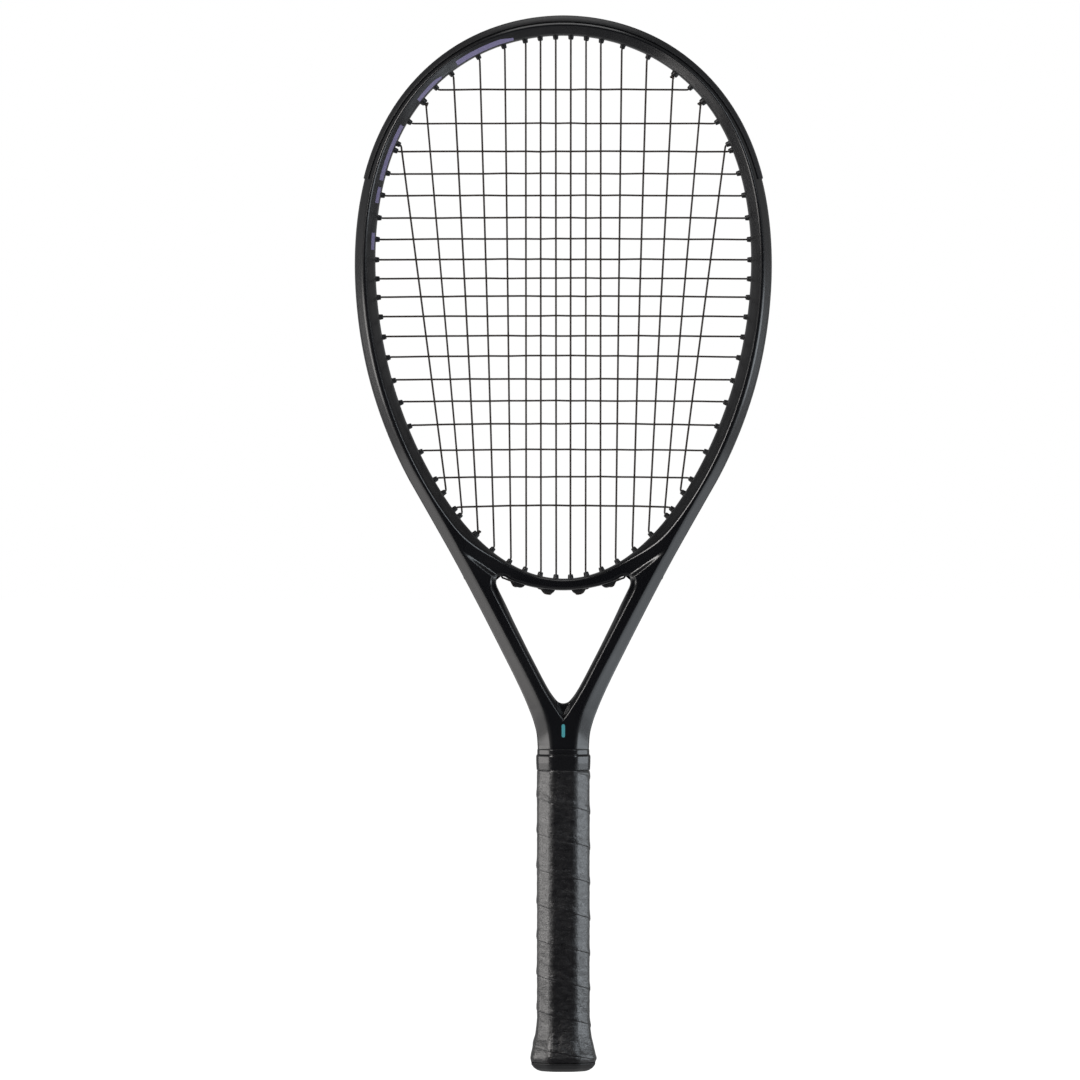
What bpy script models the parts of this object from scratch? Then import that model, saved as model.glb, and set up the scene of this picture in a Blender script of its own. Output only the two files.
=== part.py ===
"""Tennis racket, strung, 16 mains by 19 crosses.

Frame of reference: metres, +Z up the racket from the butt to the crown, the
hitting plane is XZ, -Y is the front. The origin is the middle of the butt.
All the design dimensions below are in millimetres.
"""

import math

import bmesh
import bpy
import numpy as np

MM = 0.001

# ---- driving dimensions (mm) ------------------------------------------------
LENGTH = 700.0
GAP = 0.3                       # clearance between neighbouring pieces

# head opening: x = sum a_k sin(k t), z = b_0 + sum b_k cos(k t), t = 0 at the crown
HEAD_X = (124.277, 5.525, 0.738, -2.685, -0.611, -0.384)
HEAD_Z = (510.876, 180.02, -0.081, 0.218, -3.859, -0.139, -0.117)
RING_WIDTH = ((0.0, 11.5), (0.6, 11.5), (1.1, 12.8), (1.5, 13.8), (1.9, 14.5), (2.3, 14.5))
T_SPLIT = 2.27                  # below this the outer edge leaves the head and becomes the shaft
SHAFT_OUTER = ((14.0, 12.0), (205.0, 12.0), (207.0, 16.3), (215.2, 16.3), (216.6, 17.0),
               (219.6, 17.3), (223.6, 17.7), (231.5, 19.6), (239.5, 22.5), (247.5, 25.8),
               (259.4, 31.3), (279.3, 41.2), (299.2, 51.3), (317.8, 60.9), (339.0, 72.2),
               (365.5, 87.1))
SHAFT_INNER = ((244.6, 2.5), (247.5, 6.1), (251.4, 8.6), (259.4, 13.2), (279.3, 23.5),
               (299.2, 33.3), (312.0, 39.4), (319.0, 42.6), (321.5, 43.9), (324.8, 44.7),
               (327.2, 43.5))
CROTCH_Z = 243.9
HALF_BEAM = ((14.0, 9.6), (205.0, 9.6), (207.0, 13.2), (216.0, 13.2), (240.0, 12.6),
             (300.0, 13.2), (400.0, 14.0), (535.0, 14.0), (700.0, 12.6))

WALL_IN = 5.0                   # half height of the wall that faces the strings
WALL_OUT = 6.8                  # half height of the outer wall
BEVEL_IN = 6.2
BEVEL_OUT_HOOP = 5.6
BEVEL_OUT_SHAFT = 8.4
GROOVE_MOUTH = 5.0
GROOVE_FLOOR = 4.6
GROOVE_DEPTH = 3.4
OCT_X = 0.485                   # flat part of an octagon, as a fraction of its half width
OCT_Y = 0.42                    # and of its half depth

BRIDGE_X = 40.3                 # where the bridge meets the frame, on the string side
BRIDGE_LOW = (43.5, 327.2)      # and on the throat side
BRIDGE_BOTTOM = 318.9
BRIDGE_RISE = 0.00529           # lower edge: z = BRIDGE_BOTTOM + BRIDGE_RISE x^2
BRIDGE_HALF = 9.3
BRIDGE_GROOVE = 2.6

STRING_R = 0.65
MAIN_Y, CROSS_Y = -0.8, 0.8     # planes of the mains and of the crosses
LANE = 2.4                      # the strings' lanes in the groove, either side of its middle
LOOP_DEPTH = 1.1                # string centre below the outer edge
BRIDGE_LOOP_DEPTH = 0.45        # and below the bridge's lower edge
MAINS_TOP = (5.0, 15.1, 24.9, 38.8, 55.4, 72.8, 91.1, 107.6)
MAINS_BOTTOM = (4.7, 14.8, 24.6, 34.7, 45.8, 56.6, 67.1, 77.7)
CROSSES = (650.9, 628.5, 609.9, 595.0, 580.6, 565.8, 551.6, 538.2, 525.6, 513.4, 500.5,
           487.3, 473.7, 458.6, 444.1, 428.5, 411.7, 393.6, 374.1)
TIP = 2.6                       # how far a grommet barrel stands into the head
TURN = 3.1                      # where the string turns, inside the barrel's tip
BARREL_R, BORE_R, HOLE_R = 1.6, 1.1, 2.2
WIDE_BARREL_R, WIDE_BORE_R, WIDE_HOLE_R = 2.55, 2.03, 3.3
BASE_IN, BASE_OUT = 3.1, 2.2    # grommet strip's base, below the outer edge
BUMPER_END_Z = 589.0
BUMPER_PROUD_END = 0.85

HANDLE_HALF = (15.7, 13.8)      # pallets
SEAT_HALF = (14.4, 12.4)        # pallets inside the butt cap
GRIP_HALF = (17.6, 15.7)

# ---- small helpers ----------------------------------------------------------


def along(table, x):
    """A smooth curve through a small design table, without overshoot."""
    xs, ys = np.array(table, float).T
    h = np.diff(xs)
    d = np.diff(ys) / h
    m = np.empty(len(xs))
    m[0], m[-1] = d[0], d[-1]
    for i in range(1, len(xs) - 1):
        if d[i - 1] * d[i] <= 0:
            m[i] = 0.0
        else:
            w1, w2 = 2 * h[i] + h[i - 1], h[i] + 2 * h[i - 1]
            m[i] = (w1 + w2) / (w1 / d[i - 1] + w2 / d[i])
    x = min(max(float(x), xs[0]), xs[-1])
    i = min(int(np.searchsorted(xs, x, side="right")) - 1, len(h) - 1)
    s = (x - xs[i]) / h[i]
    return ((2 * s**3 - 3 * s**2 + 1) * ys[i] + (s**3 - 2 * s**2 + s) * h[i] * m[i]
            + (-2 * s**3 + 3 * s**2) * ys[i + 1] + (s**3 - s**2) * h[i] * m[i + 1])


def head(t):
    return np.array([sum(a * math.sin((k + 1) * t) for k, a in enumerate(HEAD_X)),
                     sum(b * math.cos(k * t) for k, b in enumerate(HEAD_Z))])


def outward(t):
    """Unit normal of the head opening, away from the strings, in (x, z)."""
    dx = sum((k + 1) * a * math.cos((k + 1) * t) for k, a in enumerate(HEAD_X))
    dz = sum(-k * b * math.sin(k * t) for k, b in enumerate(HEAD_Z))
    n = np.array([-dz, dx])
    return n / np.linalg.norm(n)


def hoop_outer(t):
    return head(t) + outward(t) * along(RING_WIDTH, t)


SPLIT = hoop_outer(T_SPLIT)
OUTER_TABLE = SHAFT_OUTER + ((float(SPLIT[1]), float(SPLIT[0])),)


def shaft_outer(z):
    return np.array([along(OUTER_TABLE, z), z])


def shaft_inner(z):
    return np.array([along(SHAFT_INNER, z), z])


GRID = np.linspace(0.0, math.pi, 1601)
TIPS = np.array([head(t) - outward(t) * TURN for t in GRID])
HEADS = np.array([head(t) for t in GRID])
T_BUMPER = float(np.interp(-BUMPER_END_Z, -HEADS[:, 1], GRID))
LOW = HEADS[:, 1] < 480.0
T_JOINT = float(np.interp(-BRIDGE_X, -HEADS[LOW, 0], GRID[LOW]))


def t_top(x):
    part = GRID < 1.3
    return float(np.interp(x, TIPS[part, 0], GRID[part]))


def t_bottom(x):
    part = GRID > 1.8
    return float(np.interp(-x, -TIPS[part, 0], GRID[part]))


def t_cross(z):
    return float(np.interp(-z, -TIPS[:, 1], GRID))


OUTLINE = np.array([hoop_outer(t) for t in np.linspace(0, T_SPLIT, 240)]
                   + [shaft_outer(z) for z in np.linspace(SPLIT[1], 300.0, 90)[1:]])
UNDER = np.array([(x, BRIDGE_BOTTOM + BRIDGE_RISE * x * x) for x in np.linspace(-47, 47, 95)])


def reach(t):
    """How far the outer edge is from the head opening along its normal."""
    if t <= T_SPLIT:
        return along(RING_WIDTH, t)
    edge = UNDER if t > T_JOINT else OUTLINE
    p, n = head(t), outward(t)
    best = None
    for a, b in zip(edge[:-1], edge[1:]):
        e = b - a
        det = n[0] * -e[1] + n[1] * e[0]
        if abs(det) < 1e-12:
            continue
        r = a - p
        s = (r[0] * -e[1] + r[1] * e[0]) / det
        u = (n[0] * r[1] - n[1] * r[0]) / det
        if 0 <= u <= 1 and s > 1 and (best is None or s < best):
            best = s
    return best


def spot(t, side, r, y):
    """Point at distance r outside the head opening at t, on one side, in metres."""
    p = head(t) + outward(t) * r
    return np.array([side * p[0], y, p[1]]) * MM


# ---- object making ----------------------------------------------------------


def material(name, colour, roughness, metallic=0.0):
    m = bpy.data.materials.new(name)
    m.use_nodes = True
    bsdf = m.node_tree.nodes["Principled BSDF"]
    bsdf.inputs["Base Color"].default_value = (*colour, 1.0)
    bsdf.inputs["Roughness"].default_value = roughness
    bsdf.inputs["Metallic"].default_value = metallic
    m.diffuse_color = (*colour, 1.0)
    return m


def add(name, data, look=None, helper=False):
    obj = bpy.data.objects.new(name, data)
    bpy.context.scene.collection.objects.link(obj)
    if look:
        data.materials.append(look)
    if helper:
        obj.hide_render = True
        obj.display_type = "WIRE"
    return obj


def mesh_from(name, points, faces):
    """A closed mesh from points in metres, its faces turned outwards."""
    mesh = bpy.data.meshes.new(name)
    mesh.from_pydata([tuple(map(float, p)) for p in points], [], faces)
    bm = bmesh.new()
    bm.from_mesh(mesh)
    bmesh.ops.recalc_face_normals(bm, faces=bm.faces)
    bm.to_mesh(mesh)
    bm.free()
    return mesh


def loft(name, rings, ring_closed=True, caps=True):
    """Quads between rings of equal length, and a face on each end."""
    n = len(rings[0])
    points = [p for ring in rings for p in ring]
    faces = []
    last = len(rings) if not caps else len(rings) - 1
    for i in range(last):
        a, b = i * n, ((i + 1) % len(rings)) * n
        for k in range(n):
            j = (k + 1) % n
            faces.append((a + k, a + j, b + j, b + k))
    if caps:
        faces.append(tuple(range(n)))
        faces.append(tuple(range((len(rings) - 1) * n, len(rings) * n)))
    return mesh_from(name, points, faces)


def octagon(z, a, b):
    fx, fy = OCT_X * a, OCT_Y * b
    return [np.array((x, y, z)) * MM for x, y in
            ((a, -fy), (a, fy), (fx, b), (-fx, b), (-a, fy), (-a, -fy), (-fx, -b), (fx, -b))]


def sleeve(name, outer, inner):
    """A tube of octagons: up its outside, down its inside."""
    rings = [octagon(*o) for o in outer] + [octagon(*i) for i in reversed(inner)]
    return loft(name, rings, caps=False)


def merged(name, parts):
    """Separate closed shells in one helper mesh: list of (points, faces)."""
    points, faces = [], []
    for p, f in parts:
        base = len(points)
        points += list(p)
        faces += [tuple(base + i for i in face) for face in f]
    return mesh_from(name, points, faces)


def prism(axis_from, axis_to, side_dir, radius, sides=6):
    """A straight prism about an axis, its corners set out from side_dir."""
    d = axis_to - axis_from
    d = d / np.linalg.norm(d)
    u = side_dir - d * np.dot(side_dir, d)
    u = u / np.linalg.norm(u)
    v = np.cross(d, u)
    pts = []
    for end in (axis_from, axis_to):
        for k in range(sides):
            a = 2 * math.pi * (k + 0.5) / sides
            pts.append(end + (u * math.cos(a) + v * math.sin(a)) * radius * MM)
    f = [tuple(range(sides)), tuple(range(sides, 2 * sides))]
    f += [(k, (k + 1) % sides, sides + (k + 1) % sides, sides + k) for k in range(sides)]
    return pts, f


def block(x0, x1, y0, y1, z0, z1):
    pts = [np.array((x, y, z)) * MM for x in (x0, x1) for y in (y0, y1) for z in (z0, z1)]
    return pts, [(0, 1, 3, 2), (4, 5, 7, 6), (0, 1, 5, 4), (2, 3, 7, 6), (0, 2, 6, 4), (1, 3, 7, 5)]


def cut(obj, tool, operation="DIFFERENCE"):
    m = obj.modifiers.new(operation.title(), "BOOLEAN")
    m.operation = operation
    m.solver = "EXACT"
    m.object = tool


# ---- stations of the hairpin -------------------------------------------------
# one station: inner point, outer point, and the shape of the section there


def station(p_in, p_out, half=None, wall_in=WALL_IN, bevel_in=BEVEL_IN, bevel_out=None,
            wall_out=None, groove=GROOVE_DEPTH):
    z = float(p_out[1])
    half = along(HALF_BEAM, z) if half is None else half
    if bevel_out is None:
        bevel_out = float(np.interp(z, (216, 240, 330, 420),
                                    (8.4, BEVEL_OUT_SHAFT, BEVEL_OUT_SHAFT, BEVEL_OUT_HOOP)))
    if wall_out is None:
        wall_out = float(np.interp(z, (216, 240), (OCT_Y * half, WALL_OUT)))
    return dict(a=np.asarray(p_in, float), b=np.asarray(p_out, float), half=half,
                wi=wall_in, bi=bevel_in, bo=bevel_out, wo=wall_out, g=groove)


def between(s, e, f):
    out = {}
    for key in s:
        out[key] = s[key] * (1 - f) + e[key] * f
    return out


HOOP_T = list(np.linspace(0, T_BUMPER, 14)) + list(np.linspace(T_BUMPER, T_SPLIT, 13))[1:]
STATIONS = [station(head(t), hoop_outer(t)) for t in HOOP_T]
for f in (0.2, 0.4, 0.6, 0.8, 1.0):
    t = T_SPLIT + (T_JOINT - T_SPLIT) * f
    wall = WALL_IN + (BRIDGE_HALF - WALL_IN) * max(0.0, f * 2 - 1) ** 1
    STATIONS.append(station(head(t), shaft_outer(SPLIT[1] + (320.0 - SPLIT[1]) * f),
                            wall_in=wall, bevel_in=BEVEL_IN - 2.2 * f))
STATIONS.append(station(BRIDGE_LOW, shaft_outer(313.0), wall_in=BRIDGE_HALF, bevel_in=4.0))
N_GROOVED = len(STATIONS)
STATIONS.append(station(shaft_inner(324.8), shaft_outer(310.6), wall_in=7.4, bevel_in=4.6, groove=0))
for z_in, z_out in ((320.0, 308.0), (311.0, 300.0), (299.0, 289.5), (287.0, 278.5),
                    (276.0, 268.0), (266.0, 258.5), (258.0, 250.5), (251.4, 244.5),
                    (247.5, 240.5), (244.6, 237.2)):
    STATIONS.append(station(shaft_inner(z_in), shaft_outer(z_out), groove=0))
for z_in, z_out, wall in ((CROTCH_Z, 234.0, 6.0), (240.0, 230.8, 8.5), (236.0, 227.8, 10.6),
                          (230.0, 224.0, 12.2), (223.5, 220.0, 12.9), (218.0, 217.2, 13.15)):
    STATIONS.append(station((0.0, z_in), shaft_outer(z_out), wall_in=wall, groove=0))
for z_in in (215.2, 207.0, 205.0, 14.0):
    p = shaft_outer(z_in)
    half = along(HALF_BEAM, z_in)
    STATIONS.append(station((0.0, z_in), p, half=half, wall_in=half, bevel_in=3.0,
                            bevel_out=(1 - OCT_X) * p[0], wall_out=OCT_Y * half, groove=0))


def section(s, shape):
    """Ring of points of a section: shape gives (distance from the inner point, height) pairs."""
    d = s["b"] - s["a"]
    w = float(np.linalg.norm(d))
    u = d / w
    pts = []
    for r, y in shape(s, w):
        p = s["a"] + u * r
        pts.append(np.array((p[0], y, p[1])) * MM)
    return pts


def frame_shape(s, w):
    mouth, floor = min(GROOVE_MOUTH, s["wo"] - 1.2), min(GROOVE_FLOOR, s["wo"] - 1.6)
    top = [(0, s["wi"]), (s["bi"], s["half"]), (w - s["bo"], s["half"]), (w, s["wo"]),
           (w, mouth), (w - s["g"], floor)]
    return top + [(r, -y) for r, y in reversed(top)]


def mirrored_hairpin(name, stations):
    rings = [section(s, frame_shape) for s in stations]
    n = len(rings[0])
    points, right, left = [], [], []
    for ring in rings:
        r, l = [], []
        for p in ring:
            p = p.copy()
            if abs(p[0]) < 1e-7:
                p[0] = 0.0
            points.append(p)
            r.append(len(points) - 1)
            if p[0] == 0.0:
                l.append(len(points) - 1)
            else:
                points.append(p * np.array((-1, 1, 1)))
                l.append(len(points) - 1)
        right.append(r)
        left.append(l)
    faces = []
    for i in range(len(rings) - 1):
        joined = stations[i]["a"][0] == 0 and stations[i + 1]["a"][0] == 0 and i > 5
        for k in range(n):
            j = (k + 1) % n
            if j == 0 and joined:
                continue
            faces.append((right[i][k], right[i][j], right[i + 1][j], right[i + 1][k]))
            faces.append((left[i][j], left[i][k], left[i + 1][k], left[i + 1][j]))
    faces.append(tuple(right[-1] + list(reversed(left[-1]))[1:-1]))
    return mesh_from(name, points, faces)


# ---- string holes --------------------------------------------------------------
# (side, t, y, wide, carrier)
HOLES = []
for side in (1, -1):
    for k, x in enumerate(MAINS_TOP):
        wide = k == 6 or (k == 5 and side == 1)
        HOLES.append((side, t_top(x), 0.0 if wide else MAIN_Y, wide, "bumper"))
    for k, x in enumerate(MAINS_BOTTOM):
        wide = k == 5 and side == -1
        HOLES.append((side, t_bottom(x), 0.0 if wide else MAIN_Y, wide,
                      "bridge" if k < 4 else "side"))
    for k, z in enumerate(CROSSES):
        HOLES.append((side, t_cross(z), CROSS_Y, False, "bumper" if k < 4 else "side"))

Y_AXIS = np.array((0.0, 1.0, 0.0))


def hole_prism(hole, r0, r1, narrow, wide_r):
    side, t, y, wide, _ = hole
    return prism(spot(t, side, r0, y), spot(t, side, r1, y), Y_AXIS, wide_r if wide else narrow)


def hole_tool(name, holes, extra=()):
    parts = [hole_prism(h, -4.0, reach(h[1]) + 3.0, HOLE_R, WIDE_HOLE_R) for h in holes]
    return add(name, merged(name, parts + list(extra)), helper=True)


def grommets(obj, name, holes, start=BASE_IN, end=BASE_OUT):
    """Barrels joined to a strip's base, and the bores through both."""
    middle = (start + end) / 2
    barrels = [hole_prism(h, -TIP, reach(h[1]) - middle, BARREL_R, WIDE_BARREL_R) for h in holes]
    bores = [hole_prism(h, -TIP - 1.0, reach(h[1]) - end + 0.8, BORE_R, WIDE_BORE_R) for h in holes]
    cut(obj, add(name + "_barrels", merged(name + "_barrels", barrels), helper=True), "UNION")
    cut(obj, add(name + "_bores", merged(name + "_bores", bores), helper=True))


# ---- string paths ---------------------------------------------------------------


class Route:
    """Points of a string in metres, with its thickness factor at each."""

    def __init__(self):
        self.points, self.radii = [], []

    def put(self, p, radius=1.0):
        self.points.append(np.asarray(p, float))
        self.radii.append(radius)

    def inner_end(self, t, side, y, run, outwards):
        """The turn at a barrel's tip, between the run and the bore."""
        corner = spot(t, side, -TURN, y)
        on_run = corner + run * 0.7 * MM
        on_bore = spot(t, side, -TURN + 0.7, y)
        for p in ((on_run, on_bore) if outwards else (on_bore, on_run)):
            self.put(p)

    def loop(self, ta, tb, side_a, side_b, ya, lane, yb, shift=None):
        """Out of the bore at ta, along the groove, into the bore at tb."""
        a = side_a * ta
        b = side_b * tb
        sign = 1.0 if b > a else -1.0
        span = abs(b - a)
        speed = float(np.linalg.norm(head(abs(a) + 1e-3) - head(abs(a))) / 1e-3)
        speed += along(RING_WIDTH, min(abs(a), 2.2))
        step = 1.5 / speed
        depth = BRIDGE_LOOP_DEPTH if min(ta, tb) > T_JOINT else LOOP_DEPTH
        w = lambda q: reach(abs(q)) - depth
        side = lambda q: 1.0 if q >= 0 else -1.0
        at = lambda q, r, y: spot(abs(q), side(q), r, y)
        self.put(at(a, w(a) - 1.5, ya))
        self.put(at(a + sign * step * 0.3, w(a) - 0.35, ya + (lane - ya) * 0.15))
        q = a + sign * step
        self.put(at(q, w(q), ya + (lane - ya) * 0.45))
        count = max(1, int(round(span * speed / 9.0)))
        for i in range(1, count + 1):
            q = a + (b - a) * i / (count + 1)
            y = lane
            if shift == "late":
                y = ya if i < count else (ya + yb) / 2
            if shift == "early":
                y = yb if i > 1 else (ya + yb) / 2
            self.put(at(q, w(q), y))
        q = b - sign * step
        self.put(at(q, w(q), yb + (lane - yb) * (0.0 if shift else 0.45)))
        self.put(at(b - sign * step * 0.3, w(b) - 0.35, yb + (lane - yb) * (0.0 if shift else 0.15)))
        self.put(at(b, w(b) - 1.5, yb))

    def knot(self, t, side, into):
        """The tied end inside a barrel that two strings share."""
        ends = [(-TIP - 0.2, 0.8, 1.0), (-TIP - 0.9, 1.2, 1.4), (-TIP - 1.8, 1.65, 2.0),
                (-TIP - 2.8, 1.65, 1.8), (-TIP - 3.4, 1.65, 0.9)]
        for r, y, k in (ends if into else reversed(ends)):
            self.put(spot(t, side, r, y), k)

    def make(self, name, look):
        curve = bpy.data.curves.new(name, "CURVE")
        curve.dimensions = "3D"
        curve.bevel_depth = STRING_R * MM
        curve.bevel_resolution = 1
        curve.use_fill_caps = True
        spline = curve.splines.new("POLY")
        spline.points.add(len(self.points) - 1)
        for point, p, r in zip(spline.points, self.points, self.radii):
            point.co = (float(p[0]), float(p[1]), float(p[2]), 1.0)
            point.radius = r
        return add(name, curve, look)


def unit(v):
    return v / np.linalg.norm(v)


def mains_route():
    route = Route()
    top = [t_top(x) for x in MAINS_TOP]
    low = [t_bottom(x) for x in MAINS_BOTTOM]
    order = [(-1, k) for k in range(7, -1, -1)] + [(1, k) for k in range(8)]
    route.knot(top[6], -1, into=False)
    route.loop(top[6], top[7], -1, -1, CROSS_Y, CROSS_Y, MAIN_Y, shift="early")
    down = True
    for i, (side, k) in enumerate(order):
        a = spot(top[k], side, -TURN, MAIN_Y)
        b = spot(low[k], side, -TURN, MAIN_Y)
        run = unit(b - a)
        if down:
            route.inner_end(top[k], side, MAIN_Y, run, outwards=False)
            route.inner_end(low[k], side, MAIN_Y, -run, outwards=True)
        else:
            route.inner_end(low[k], side, MAIN_Y, -run, outwards=False)
            route.inner_end(top[k], side, MAIN_Y, run, outwards=True)
        if i + 1 < len(order):
            s2, k2 = order[i + 1]
            if down:
                route.loop(low[k], low[k2], side, s2, MAIN_Y, -LANE, MAIN_Y)
            else:
                route.loop(top[k], top[k2], side, s2, MAIN_Y, -LANE, MAIN_Y)
        down = not down
    route.loop(top[7], top[6], 1, 1, MAIN_Y, MAIN_Y, CROSS_Y, shift="late")
    route.knot(top[6], 1, into=True)
    return route


def crosses_route():
    route = Route()
    ts = [t_cross(z) for z in CROSSES]
    start, finish = t_top(MAINS_TOP[5]), t_bottom(MAINS_BOTTOM[5])
    route.knot(start, 1, into=False)
    route.loop(start, ts[0], 1, 1, CROSS_Y, CROSS_Y, CROSS_Y)
    side = 1
    for k, t in enumerate(ts):
        run = np.array((-float(side), 0.0, 0.0))
        route.inner_end(t, side, CROSS_Y, run, outwards=False)
        route.inner_end(t, -side, CROSS_Y, -run, outwards=True)
        side = -side
        if k + 1 < len(ts):
            route.loop(t, ts[k + 1], side, side, CROSS_Y, LANE, CROSS_Y)
    route.loop(ts[-1], finish, -1, -1, CROSS_Y, CROSS_Y, CROSS_Y)
    route.knot(finish, -1, into=True)
    return route


# ---- the racket ------------------------------------------------------------------


def build_frame():
    look = material("frame_paint", (0.012, 0.012, 0.014), 0.32)
    obj = add("frame", mirrored_hairpin("frame", STATIONS), look)
    bores = [block(s * 1.6 if s > 0 else -9.0, 9.0 if s > 0 else -1.6, -5.4, 5.4, 8.0, 200.0)
             for s in (1, -1)]
    cut(obj, hole_tool("frame_holes", [h for h in HOLES if h[4] != "bridge"], bores))


def bridge_stations(count=15, inset=0.0):
    """From left to right under the head opening."""
    x_top = head(T_JOINT)[0] - GAP - inset
    x_low = BRIDGE_LOW[0] - 3 * GAP - inset
    low = GRID > 2.5
    out = []
    for f in np.linspace(-1, 1, count):
        x = abs(f) * x_top
        t = float(np.interp(-x, -HEADS[low, 0], GRID[low]))
        xl = abs(f) * x_low
        s = -1.0 if f < 0 else 1.0
        a, b = head(t), np.array((xl, BRIDGE_BOTTOM + BRIDGE_RISE * xl * xl))
        out.append(dict(a=a * (s, 1), b=b * (s, 1)))
    return out


def bridge_shape(s, w):
    top = [(0, 5.0), (2.6, BRIDGE_HALF), (w - 2.6, BRIDGE_HALF), (w, 6.2), (w, 4.6),
           (w - BRIDGE_GROOVE, 4.2)]
    return top + [(r, -y) for r, y in reversed(top)]


def build_bridge():
    look = material("bridge_paint", (0.012, 0.012, 0.014), 0.3)
    obj = add("throat_bridge", loft("throat_bridge", [section(s, bridge_shape) for s in bridge_stations()]), look)
    cut(obj, hole_tool("bridge_holes", [h for h in HOLES if h[4] == "bridge"]))
    strip = material("bridge_grommet_nylon", (0.02, 0.02, 0.022), 0.5)
    start, end = BRIDGE_GROOVE - GAP, BRIDGE_GROOVE - GAP - 0.8

    def shape(s, w):
        return [(w - start, 3.8), (w - end, 3.8), (w - end, -3.8), (w - start, -3.8)]

    every = bridge_stations()
    rings = [section(between(every[0], every[1], 0.35), shape)]
    rings += [section(s, shape) for s in every[1:-1]]
    rings += [section(between(every[-1], every[-2], 0.35), shape)]
    base = add("grommet_strip_bridge", loft("grommet_strip_bridge", rings), strip)
    grommets(base, "bridge_strip", [h for h in HOLES if h[4] == "bridge"], start, end)


def flipped(s):
    out = dict(s)
    out["a"], out["b"] = s["a"] * (-1, 1), s["b"] * (-1, 1)
    return out


def build_bumper():
    look = material("bumper_nylon", (0.018, 0.018, 0.02), 0.42)
    end = HOOP_T.index(T_BUMPER) if T_BUMPER in HOOP_T else 13
    half = [(HOOP_T[i], STATIONS[i]) for i in range(end)]
    half.append((T_BUMPER, between(STATIONS[end - 1], STATIONS[end], 0.98)))
    proud_top = LENGTH - float(hoop_outer(0)[1])

    def shape_for(t):
        proud = proud_top + (BUMPER_PROUD_END - proud_top) * t / T_BUMPER

        def shape(s, w):
            rise = np.array((-s["bo"], s["half"] - s["wo"]))
            length = float(np.linalg.norm(rise))
            rise = rise / length
            off = np.array((rise[1], -rise[0]))
            tip = np.array((w, s["wo"])) + rise * 4.6
            inner, outer = tip + off * GAP, tip + off * (GAP + 0.8)
            top = [(w - BASE_IN, GROOVE_FLOOR - 0.3), (w + GAP, GROOVE_MOUTH - 0.3),
                   (w + GAP, s["wo"] + 0.15), tuple(inner), tuple(outer),
                   (w + proud, s["wo"] + 0.2), (w + proud, LANE + 1.15), (w - BASE_OUT, LANE + 1.0)]
            return top + [(r, -y) for r, y in reversed(top)]
        return shape

    rings = [section(flipped(s), shape_for(t)) for t, s in reversed(half[1:])]
    rings += [section(s, shape_for(t)) for t, s in half]
    obj = add("bumper_guard", loft("bumper_guard", rings), look)
    grommets(obj, "bumper", [h for h in HOLES if h[4] == "bumper"])


def build_side_strips():
    def shape(s, w):
        return [(w - BASE_IN, 4.2), (w - BASE_OUT, 4.2), (w - BASE_OUT, -4.2), (w - BASE_IN, -4.2)]

    first = 13
    line = [between(STATIONS[first], STATIONS[first + 1], 0.03)]
    line += STATIONS[first + 1:N_GROOVED - 1]
    line.append(between(STATIONS[N_GROOVED - 2], STATIONS[N_GROOVED - 1], 0.8))
    for side, name in ((-1, "grommet_strip_left"), (1, "grommet_strip_right")):
        look = material(name + "_nylon", (0.02, 0.02, 0.022), 0.5)
        rings = [section(s if side > 0 else flipped(s), shape) for s in line]
        obj = add(name, loft(name, rings), look)
        grommets(obj, name, [h for h in HOLES if h[4] == "side" and h[0] == side])


def build_strings():
    mains_route().make("main_string", material("main_string_poly", (0.035, 0.028, 0.024), 0.35))
    crosses_route().make("cross_string", material("cross_string_poly", (0.035, 0.028, 0.024), 0.35))


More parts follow.
